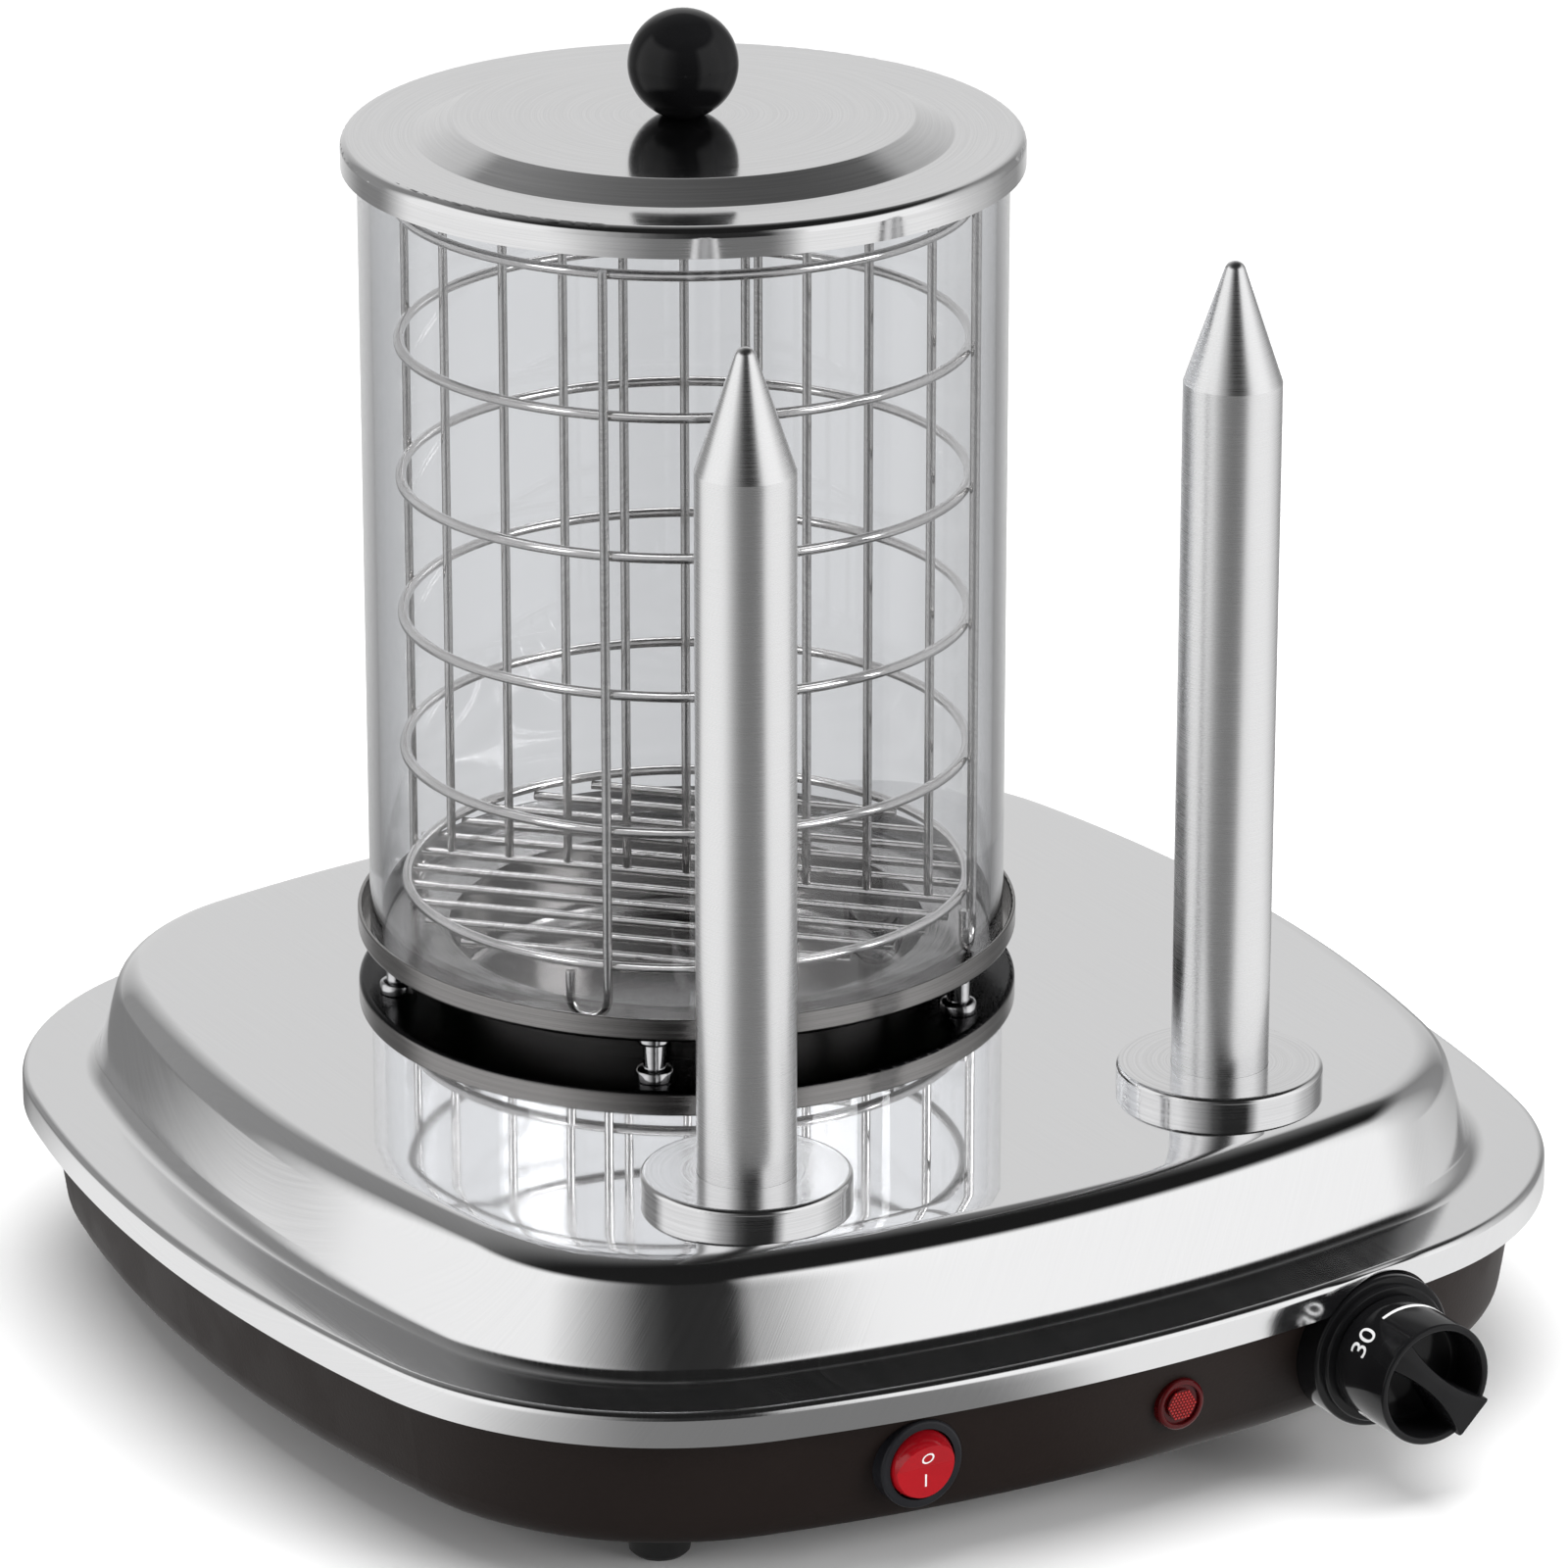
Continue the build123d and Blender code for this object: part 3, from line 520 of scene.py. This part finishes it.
def makeDeck():
    shape = deckShape
    low, high = deckLow, deckHigh
    centreY = (low.y + high.y) / 2
    fold = low.z + shape["lip"]
    straight = fold - shape["lipStraight"]
    flatEnd = shape["wallTop"] + shape["flat"]
    sheet = shape["sheet"]
    slope = (shape["wallTop"] - shape["wallFoot"]) / (high.z - fold)
    outer = [
        (0.0, low.z, 0.0), (0.0, straight, 0.0), (0.0, fold, shape["lipRound"]),
        (shape["wallFoot"], fold, shape["cove"]), (shape["wallTop"], high.z, shape["shoulder"]),
        (flatEnd, high.z, 0.0),
    ]
    wallShift = sheet * math.sqrt(1 + slope ** 2) - sheet * slope
    inner = [
        (sheet, low.z, 0.0), (sheet, straight, 0.0), (sheet, fold - sheet, shape["lipRound"] - sheet),
        (shape["wallFoot"] + wallShift, fold - sheet, shape["cove"] + sheet),
        (shape["wallTop"] + wallShift, high.z - sheet, shape["shoulder"] - sheet),
        (flatEnd, high.z - sheet, 0.0),
    ]
    lipFold = fold - shape["foldEdge"]
    rows = []
    for path, reverse in ((softPath(outer), False), (softPath(inner), True)):
        skinRows = []
        for inset, z in path:
            ring = deckRing(inset)
            skinRows.append([(p.x, p.y + centreY, lipLift(p, z, low.z, lipFold)) for p in ring])
        edge = skinRows[-1]
        for k in range(1, shape["topRows"] + 1):
            share = k / shape["topRows"]
            row = []
            for x, y, z in edge:
                arm = Vector((x - dishAxis.x, y - dishAxis.y))
                rim = dishAxis.xy + arm.normalized() * shape["hole"]
                row.append((x + (rim.x - x) * share, y + (rim.y - y) * share, z))
            skinRows.append(row)
        rows += reversed(skinRows) if reverse else skinRows
    points = [point for row in rows for point in row]
    deck = meshPiece("pressedDeck", points, loopFaces(len(rows), len(rows[0]), True), shape["sharp"])
    return dress(deck, "base", "stainless_sheet", finishes["stainless_sheet"], "deck_top")


makeDeck()
print("deck pressed")

# Warming spikes

spikeShape = {
    "cone": 28.4 * mm, "tip": 2.5 * mm, "rise": 2.2 * mm, "wall": 1.4 * mm, "tipSteps": 12, "columns": 96,
    "sharp": 12.0,
}


# A tube with a conical end and a domed tip
def makeSpike(side, material):
    shape = spikeShape
    node = "spike_" + side
    low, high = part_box(node)
    centre = (low + high) / 2
    radius = (high.x - low.x) / 2
    bore = radius - shape["wall"]
    top = high.z + shape["rise"]
    cone = top - shape["cone"]
    tip = shape["tip"]
    domeCentre = top - tip
    shoulder = Vector((radius, cone - domeCentre))
    start = math.atan2(shoulder.y, shoulder.x) + math.acos(tip / shoulder.length)
    ceiling = cone - shape["wall"]
    profile = [(0.0, ceiling), (bore, ceiling), (bore, low.z), (radius, low.z), (radius, cone)]
    for k in range(shape["tipSteps"]):
        turn = start + (math.pi / 2 - start) * k / shape["tipSteps"]
        profile.append((tip * math.cos(turn), domeCentre + tip * math.sin(turn)))
    profile.append((0.0, top))
    name = "warmingSpike" + side.capitalize()
    piece = turned(name, profile, upright(centre.x, centre.y), shape["columns"], sharp=shape["sharp"])
    dress(piece, "base", "spike_aluminium", material, node)


makeSpike("left", finishes["spike_aluminium"])
makeSpike("right", rightSide["spike_right"])
print("spikes turned")

# Thermostat knob and the collar behind it

drumShape = {
    "lug": 2.0 * mm, "skin": 1.8 * mm, "recess": 11.0 * mm, "rimRound": 0.7 * mm, "cornerRound": 1.5 * mm,
    "waist": 2.2 * mm, "flare": 5.0 * mm, "turn": -45.0, "drop": 5.0 * mm, "edge": 0.7 * mm, "bevel": 0.3,
    "intoSkin": 0.4, "sweep": 1.6, "steps": 24, "arcSteps": 6, "columns": 96, "sharp": 50.0,
}
knobLow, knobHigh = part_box("thermostat_knob")
knobAxis = (knobLow + knobHigh) / 2
knobRadius = (knobHigh.z - knobLow.z) / 2
knobRim = knobPlace.y


# A hollow drum, and a grip bar across it that slopes from its floor to a lug in front of its rim
def makeKnob():
    shape = drumShape
    low, high = knobLow, knobHigh
    outer = knobRadius
    inner = outer - shape["skin"]
    lug = shape["lug"]
    floor = -lug - shape["recess"]
    length = high.y - low.y
    drum = softPath([
        (0.0, floor, 0.0), (inner, floor, shape["cornerRound"]), (inner, -lug, shape["rimRound"]),
        (outer, -lug, shape["rimRound"]), (outer, -length, shape["rimRound"]), (0.0, -length, 0.0),
    ], shape["arcSteps"])
    place = outOfFront(knobPlace.x, low.y, knobPlace.z)
    piece = turned("knobDrum", drum, place, shape["columns"])
    dress(piece, "knob", "knob_black", finishes["knob_black"], "thermostat_knob")
    heading = math.radians(shape["turn"])
    along = Vector((math.cos(heading), math.sin(heading)))
    aside = Vector((-along.y, along.x))
    start = -inner
    end = inner + shape["intoSkin"] * shape["skin"]
    edge = shape["edge"]
    bevel = shape["bevel"] * edge
    points = []
    for k in range(shape["steps"] + 1):
        share = k / shape["steps"]
        run = start + (end - start) * share
        half = shape["waist"] + (shape["flare"] - shape["waist"]) * (run / inner) ** 2
        top = -(lug + shape["drop"]) * (1 - share) ** shape["sweep"]
        section = (
            (-half, floor), (half, floor), (half, top - edge), (half - bevel, top - bevel),
            (half - edge, top), (edge - half, top), (bevel - half, top - bevel), (-half, top - edge),
        )
        for wide, height in section:
            spot = along * run + aside * wide
            points.append((knobPlace.x + spot.x, low.y - height, knobPlace.z + spot.y))
    sides = len(section)
    faces = loopFaces(shape["steps"] + 1, sides, False)
    faces += [tuple(range(sides)), tuple(len(points) - 1 - k for k in range(sides))]
    dress(meshPiece("knobGrip", points, faces, shape["sharp"]), "knob", "knob_black", finishes["knob_black"])


def makeCollar():
    shape = collarShape
    low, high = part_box("knob_collar")
    depth = high.y - low.y
    collar = softPath([
        (shape["bore"], 0.0, 0.0), (shape["neck"], 0.0, shape["neckRound"]),
        (shape["neck"], -shape["step"], 0.0), (shape["radius"], -shape["step"], shape["round"]),
        (shape["radius"], -depth, 0.0), (shape["bore"], -depth, 0.0),
    ], shape["arcSteps"])
    place = outOfFront(knobPlace.x, low.y, knobPlace.z)
    piece = turned("knobCollar", collar, place, shape["columns"], True)
    dress(piece, "base", "knob_black", finishes["knob_black"], "knob_collar")


makeKnob()
makeCollar()
print("knob turned")

# Round-headed studs under the dish

studShape = {
    "circle": 71.5 * mm, "count": 5, "head": 4.6 * mm, "drop": 3.2 * mm, "post": 2.8 * mm, "start": 90.0,
    "taper": 0.96, "edge": 0.3 * mm, "crown": 2.0 * mm, "arcSteps": 6, "columns": 32,
}


def makeStuds():
    shape = studShape
    low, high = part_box("dish_studs")
    head = high.z - shape["drop"]
    edge = shape["edge"]
    profile = softPath([
        (0.0, high.z, 0.0), (shape["head"], high.z, edge),
        (shape["taper"] * shape["head"], head + edge, shape["crown"]),
        (shape["post"], head, 0.0), (shape["post"], low.z, 0.0), (0.0, low.z, 0.0),
    ], shape["arcSteps"])
    points = []
    faces = []
    columns = shape["columns"]
    for k in range(shape["count"]):
        turn = math.radians(shape["start"]) + math.tau * k / shape["count"]
        centre = dishAxis.xy + Vector((math.cos(turn), math.sin(turn))) * shape["circle"]
        place = upright(centre.x, centre.y)
        first = len(points)
        for radius, height in profile:
            for side in range(columns):
                angle = math.tau * side / columns
                points.append(place(radius, height, angle))
        faces += [tuple(first + i for i in quad) for quad in loopFaces(len(profile), columns, False)]
    studs = meshPiece("dishStuds", points, faces)
    dress(studs, "base", "bright_hardware", finishes["bright_hardware"], "dish_studs")


makeStuds()
print("studs set")

# Pilot lamp's lens: a rounded ring, a groove and the window

lensShape = {
    "window": 3.7 * mm, "groove": 4.8 * mm, "sink": 0.9 * mm, "ring": 0.5 * mm, "round": 0.9 * mm,
    "windowRound": 0.15 * mm, "slope": 0.1 * mm, "arcSteps": 6, "columns": 64,
}


def makeLens():
    shape = lensShape
    low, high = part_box("pilot_lens")
    outer = (high.z - low.z) / 2
    depth = high.y - low.y
    profile = softPath([
        (0.0, 0.0, 0.0), (shape["window"], 0.0, shape["windowRound"]), (shape["window"], -shape["sink"], 0.0),
        (shape["groove"], -shape["sink"], 0.0), (shape["groove"], 0.0, shape["ring"]),
        (outer, -shape["slope"], shape["round"]), (outer, -depth, 0.0), (0.0, -depth, 0.0),
    ], shape["arcSteps"])
    lens = middle("pilot_lens")
    piece = turned("pilotLens", profile, outOfFront(lens.x, low.y, lens.z), shape["columns"])
    dress(piece, "base", "lamp_red", finishes["lamp_red"], "pilot_lens")


makeLens()
print("lens turned")

# Printed signs

whitePrint = plasticFinish("whitePrint", (0.82, 0.82, 0.82), (0.74, 0.74, 0.74), (0.35, 0.5), bump=0.000002)
knobShape = {
    "wedgeStart": 116.0, "wedgeEnd": -100.0, "wedgeThin": 0.8 * mm, "wedgeThick": 3.4 * mm,
    "wedgeBack": 14.5 * mm, "digit": 5.2 * mm, "print": 0.05 * mm, "steps": 90,
    "signs": (("30", 144.0), ("90", -128.0)),
}
signShape = {"capShare": 0.7, "cuts": 9, "cutsPerHeight": 12}


# A point on the knob's drum: u runs clockwise round it and v back towards the collar
def onDrum(turn, u, v, w):
    angle = math.radians(turn) - u / knobRadius
    radius = knobRadius + w
    return (knobAxis.x + radius * math.cos(angle), knobRim + v, knobAxis.z + radius * math.sin(angle))


def makeWedge():
    shape = knobShape
    rows = []
    for k in range(shape["steps"] + 1):
        share = k / shape["steps"]
        turn = shape["wedgeStart"] + (shape["wedgeEnd"] - shape["wedgeStart"]) * share
        half = (shape["wedgeThin"] + (shape["wedgeThick"] - shape["wedgeThin"]) * share) / 2
        film = shape["print"]
        section = ((-half, -film), (half, -film), (half, film), (-half, film))
        rows.append([onDrum(turn, 0.0, shape["wedgeBack"] + v, w) for v, w in section])
    points = [point for row in rows for point in row]
    faces = loopFaces(len(rows), 4, False)
    faces += [(0, 1, 2, 3), tuple(len(points) - k for k in (1, 2, 3, 4))]
    dress(meshPiece("knobWedge", points, faces), "knob", "knob_black", whitePrint)


# A sign as a thin film, cut fine enough to follow a curve
def signFilm(text, height, film):
    shape = signShape
    curve = bpy.data.curves.new("sign" + text, "FONT")
    curve.body = text
    curve.size = height / shape["capShare"]
    curve.align_x = "CENTER"
    holder = bpy.data.objects.new("sign" + text, curve)
    bpy.context.scene.collection.objects.link(holder)
    bpy.context.view_layer.update()
    mesh = bpy.data.meshes.new_from_object(holder.evaluated_get(bpy.context.evaluated_depsgraph_get()))
    bpy.data.objects.remove(holder)
    form = bmesh.new()
    form.from_mesh(mesh)
    for k in range(-shape["cuts"], shape["cuts"] + 1):
        everything = form.verts[:] + form.edges[:] + form.faces[:]
        cut = (k * height / shape["cutsPerHeight"], 0, 0)
        bmesh.ops.bisect_plane(form, geom=everything, plane_co=cut, plane_no=(1, 0, 0))
    lifted = bmesh.ops.extrude_face_region(form, geom=form.faces[:])
    for item in lifted["geom"]:
        if isinstance(item, bmesh.types.BMVert):
            item.co.z += 2 * film
    points = [tuple(v.co) for v in form.verts]
    faces = [tuple(v.index for v in f.verts) for f in form.faces]
    form.free()
    return points, faces


def makeDigits():
    shape = knobShape
    for text, turn in shape["signs"]:
        points, faces = signFilm(text, shape["digit"], shape["print"])
        base = shape["wedgeBack"] - shape["digit"] / 2
        wrapped = [onDrum(turn, x, base + y, z - shape["print"]) for x, y, z in points]
        dress(meshPiece("knobDigit" + text, wrapped, faces), "knob", "knob_black", whitePrint)


rockerShape = {
    "pivotBack": 2.0 * mm, "face": 3.4 * mm, "tiltHigh": 20.6, "tiltLow": 0.0, "ringRun": 2.6 * mm,
    "ringRadius": 1.35 * mm, "ringWidth": 0.42 * mm, "barRun": -3.3 * mm, "barLength": 3.0 * mm,
    "film": 0.04 * mm, "columns": 48,
}
rockerAxis = middle("rocker_button")
rockerAxis.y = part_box("rocker_housing")[0].y + rockerShape["pivotBack"]
rockerAxis.z = joints["rocker_press"]["pos_m"][2]


# A point on the rocker's face: across, up the face from its fold, and out of it
def onRocker(across, run, out):
    shape = rockerShape
    tilt = math.radians(shape["tiltHigh"] if run >= 0 else shape["tiltLow"])
    y = rockerAxis.y - shape["face"] - run * math.sin(tilt) - out * math.cos(tilt)
    z = rockerAxis.z + run * math.cos(tilt) - out * math.sin(tilt)
    return (rockerAxis.x + across, y, z)


def makeRockerSigns():
    shape = rockerShape
    film = shape["film"]
    half = shape["ringWidth"] / 2
    section = ((-half, -film), (half, -film), (half, film), (-half, film))
    points = []
    columns = shape["columns"]
    for k in range(columns):
        turn = math.tau * k / columns
        for wide, out in section:
            radius = shape["ringRadius"] + wide
            points.append(onRocker(radius * math.cos(turn), shape["ringRun"] + radius * math.sin(turn), out))
    ring = meshPiece("rockerRing", points, loopFaces(columns, 4, True))
    dress(ring, "rocker", "rocker_red", whitePrint)
    points = []
    for run in (-shape["barLength"] / 2, shape["barLength"] / 2):
        points += [onRocker(wide, shape["barRun"] + run, out) for wide, out in section]
    bar = meshPiece("rockerBar", points, loopFaces(2, 4, False) + [(0, 1, 2, 3), (7, 6, 5, 4)])
    dress(bar, "rocker", "rocker_red", whitePrint)


makeWedge()
makeDigits()
makeRockerSigns()
print("signs printed")

# Prismatic grid in the pilot lamp's window

gridShape = {
    "radius": 3.45 * mm, "pitch": 0.86 * mm, "bead": 0.36 * mm, "sides": 12, "sharp": 50.0,
    "steps": ((-0.2, 1.0), (0.25, 0.95), (0.6, 0.7)),
}
gridRed = plasticFinish("gridRed", (0.34, 0.012, 0.011), (0.27, 0.008, 0.008), (0.15, 0.25), bump=0.000002)


def makePilotGrid():
    shape = gridShape
    lens = middle("pilot_lens")
    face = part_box("pilot_lens")[0].y
    points = []
    faces = []
    count = math.ceil(shape["radius"] / shape["pitch"])
    rowPitch = shape["pitch"] * math.sqrt(0.75)
    sides = shape["sides"]
    for row in range(-count, count + 1):
        for column in range(-count, count + 1):
            x = (column + 0.5 * (row % 2)) * shape["pitch"]
            z = row * rowPitch
            if math.hypot(x, z) > shape["radius"]:
                continue
            start = len(points)
            for lift, width in shape["steps"]:
                for k in range(sides):
                    turn = math.tau * k / sides
                    radius = shape["bead"] * width
                    points.append((lens.x + x + radius * math.cos(turn), face - lift * shape["bead"],
                                   lens.z + z + radius * math.sin(turn)))
            bead = loopFaces(len(shape["steps"]), sides, False)
            bead += [range(sides), range(len(points) - start - sides, len(points) - start)]
            faces += [tuple(start + i for i in loop) for loop in bead]
    grid = meshPiece("pilotGrid", points, faces, shape["sharp"])
    dress(grid, "base", "lamp_red", gridRed)


makePilotGrid()
print("pilot grid set")

# Floor, light and camera

# How bright the studio is all round, by compass angle from +X: soft boxes at the left and the front right,
# a pale backdrop behind and a dark camera side
glowLook = {
    0: 0.62, 14: 0.35, 28: 0.3, 42: 0.7, 54: 0.88, 76: 0.88, 94: 0.5, 108: 0.12, 120: 0.12, 130: 0.7,
    138: 1.2, 192: 1.2, 210: 0.6, 230: 0.1, 242: 0.03, 268: 0.03, 275: 0.5, 282: 1.25, 326: 1.25, 344: 0.85,
    360: 0.62,
}


def makeStudioGlow():
    group, start, end = newEffect("studioGlow", {"Direction": (0.0, 0.0, 0.0)}, ("Glow",))
    split = addNode(group, "ShaderNodeSeparateXYZ")
    group.links.new(start.outputs["Direction"], split.inputs[0])
    turn = maths(group, "ARCTAN2", split.outputs["Y"], split.outputs["X"])
    share = maths(group, "FRACT", maths(group, "ADD", maths(group, "DIVIDE", turn, math.tau), 1.0))
    ramp = addNode(group, "ShaderNodeValToRGB")
    stops = ramp.color_ramp.elements
    angles = sorted(glowLook)
    for angle in angles[1:-1]:
        stops.new(angle / 360)
    for stop, angle in zip(stops, angles):
        stop.color = (glowLook[angle],) * 3 + (1.0,)
    group.links.new(share, ramp.inputs[0])
    group.links.new(ramp.outputs["Color"], end.inputs["Glow"])
    return group


studioGlow = makeStudioGlow()
floorLook = {
    "radius": 2.0, "sides": 96, "fadeStart": 0.75, "fadeEnd": 1.7, "colour": 0.93, "shade": 0.92,
    "rough": 0.9, "patch": 3.0, "dim": 0.2, "bright": 0.88, "brightAt": 1.2,
}


# Pale paper that keeps the shadow and fades out; metal sees it by the studio's glow
def makeFloor():
    look = floorLook
    bpy.ops.mesh.primitive_circle_add(vertices=look["sides"], radius=look["radius"], fill_type="NGON")
    floor = bpy.context.object
    floor.name = "studioFloor"
    material, tree, shader = newFinish("floorPaper", Roughness=look["rough"])
    shader.inputs["Specular IOR Level"].default_value = 0.0
    marks = addEffect(tree, handling, Patch=look["patch"])
    paper = tint(tree, marks.outputs["Smudge"], (look["colour"],) * 3, (look["shade"],) * 3)
    tree.links.new(paper, shader.inputs["Base Color"])
    place = addNode(tree, "ShaderNodeTexCoord")
    glow = addNode(tree, "ShaderNodeGroup", node_tree=studioGlow)
    tree.links.new(place.outputs["Object"], glow.inputs["Direction"])
    shine = addNode(tree, "ShaderNodeEmission")
    lit = stretch(tree, glow.outputs["Glow"], 0.0, look["brightAt"], look["dim"], look["bright"])
    tree.links.new(lit, shine.inputs["Strength"])
    path = addNode(tree, "ShaderNodeLightPath")
    mixed = addNode(tree, "ShaderNodeMixShader")
    tree.links.new(path.outputs["Is Glossy Ray"], mixed.inputs[0])
    tree.links.new(shader.outputs[0], mixed.inputs[1])
    tree.links.new(shine.outputs[0], mixed.inputs[2])
    away = addNode(tree, "ShaderNodeVectorMath", operation="LENGTH")
    tree.links.new(place.outputs["Object"], away.inputs[0])
    faded = addNode(tree, "ShaderNodeMixShader")
    fade = stretch(tree, away.outputs["Value"], look["fadeStart"], look["fadeEnd"], 0.0, 1.0)
    tree.links.new(fade, faded.inputs[0])
    tree.links.new(mixed.outputs[0], faded.inputs[1])
    tree.links.new(addNode(tree, "ShaderNodeBsdfTransparent").outputs[0], faded.inputs[2])
    tree.links.new(faded.outputs[0], tree.nodes["Material Output"].inputs["Surface"])
    floor.data.materials.append(material)


makeFloor()

worldLook = {"fill": 0.4, "low": 0.55, "high": 0.72, "dark": 0.015, "backlight": 0.36, "shine": 0.8}


# White where it is seen straight or through glass; metal sees the studio's glow under a dark ceiling
def makeWorld():
    world = bpy.data.worlds.new("studio")
    bpy.context.scene.world = world
    world.use_nodes = True
    tree = world.node_tree
    tree.nodes.clear()
    out = addNode(tree, "ShaderNodeOutputWorld")
    path = addNode(tree, "ShaderNodeLightPath")
    place = addNode(tree, "ShaderNodeTexCoord")
    split = addNode(tree, "ShaderNodeSeparateXYZ")
    tree.links.new(place.outputs["Generated"], split.inputs[0])
    glow = addNode(tree, "ShaderNodeGroup", node_tree=studioGlow)
    tree.links.new(place.outputs["Generated"], glow.inputs["Direction"])
    look = worldLook
    height = stretch(tree, split.outputs["Z"], look["low"], look["high"], 1.0, 0.0)
    lit = maths(tree, "MULTIPLY", glow.outputs["Glow"], height)
    ceiling = stretch(tree, split.outputs["Y"], 0.0, 1.0, look["dark"], look["backlight"])
    studio = maths(tree, "MULTIPLY", maths(tree, "MAXIMUM", lit, ceiling), look["shine"])
    mixed = addNode(tree, "ShaderNodeMix", data_type="FLOAT")
    tree.links.new(path.outputs["Is Glossy Ray"], mixed.inputs[0])
    mixed.inputs[2].default_value = look["fill"]
    tree.links.new(studio, mixed.inputs[3])
    seen = maths(tree, "MAXIMUM", path.outputs["Is Camera Ray"], path.outputs["Is Transmission Ray"])
    strength = maths(tree, "MAXIMUM", mixed.outputs[0], seen)
    back = setInputs(addNode(tree, "ShaderNodeBackground"), Color=(1.0, 1.0, 1.0, 1.0))
    tree.links.new(strength, back.inputs["Strength"])
    tree.links.new(back.outputs[0], out.inputs[0])


makeWorld()


# A soft box that lights the part and isn't mirrored in it
def areaLamp(name, place, target, size, power):
    lamp = bpy.data.lights.new(name, "AREA")
    lamp.shape = "RECTANGLE"
    lamp.size, lamp.size_y = size
    lamp.energy = power
    piece = bpy.data.objects.new(name, lamp)
    bpy.context.scene.collection.objects.link(piece)
    piece.location = place
    piece.rotation_mode = "QUATERNION"
    piece.rotation_quaternion = (Vector(target) - Vector(place)).to_track_quat("-Z", "Y")
    piece.visible_glossy = False


lamps = {
    "frontRightBox": {
        "place": (1.05, -1.55, 0.7), "target": (0.0, 0.0, 0.08), "size": (1.1, 0.9), "power": 26.0,
    },
    "overheadBox": {
        "place": (0.0, 0.1, 2.2), "target": (0.0, 0.0, 0.0), "size": (2.4, 2.4), "power": 62.0,
    },
    "leftBox": {
        "place": (-1.9, -0.2, 0.8), "target": (0.0, 0.0, 0.15), "size": (0.5, 1.0), "power": 8.0,
    },
}
for lampName, lampLook in lamps.items():
    areaLamp(lampName, **lampLook)

cameraLook = {
    "lens": 189.8, "sensor": 36.0, "near": 0.1, "far": 50.0, "distance": 2.0118, "elevation": 21.17,
    "azimuth": 29.8, "right": 0.0238, "up": 0.0274,
}


def makeCamera():
    look = cameraLook
    elevation = math.radians(look["elevation"])
    azimuth = math.radians(look["azimuth"])
    target = Vector((dishAxis.x, dishAxis.y, dishLip))
    back = Vector((-math.sin(azimuth) * math.cos(elevation), -math.cos(azimuth) * math.cos(elevation),
                   math.sin(elevation)))
    right = Vector((math.cos(azimuth), -math.sin(azimuth), 0.0))
    up = back.cross(right)
    data = bpy.data.cameras.new("photoCamera")
    data.lens = look["lens"]
    data.sensor_width = look["sensor"]
    data.clip_start = look["near"]
    data.clip_end = look["far"]
    camera = bpy.data.objects.new("photoCamera", data)
    bpy.context.scene.collection.objects.link(camera)
    camera.location = target + back * look["distance"]
    aim = target + right * look["right"] + up * look["up"]
    camera.rotation_mode = "QUATERNION"
    camera.rotation_quaternion = (aim - camera.location).to_track_quat("-Z", "Y")
    bpy.context.scene.camera = camera


makeCamera()
bpy.context.scene.view_settings.view_transform = "Standard"
print("studio set")
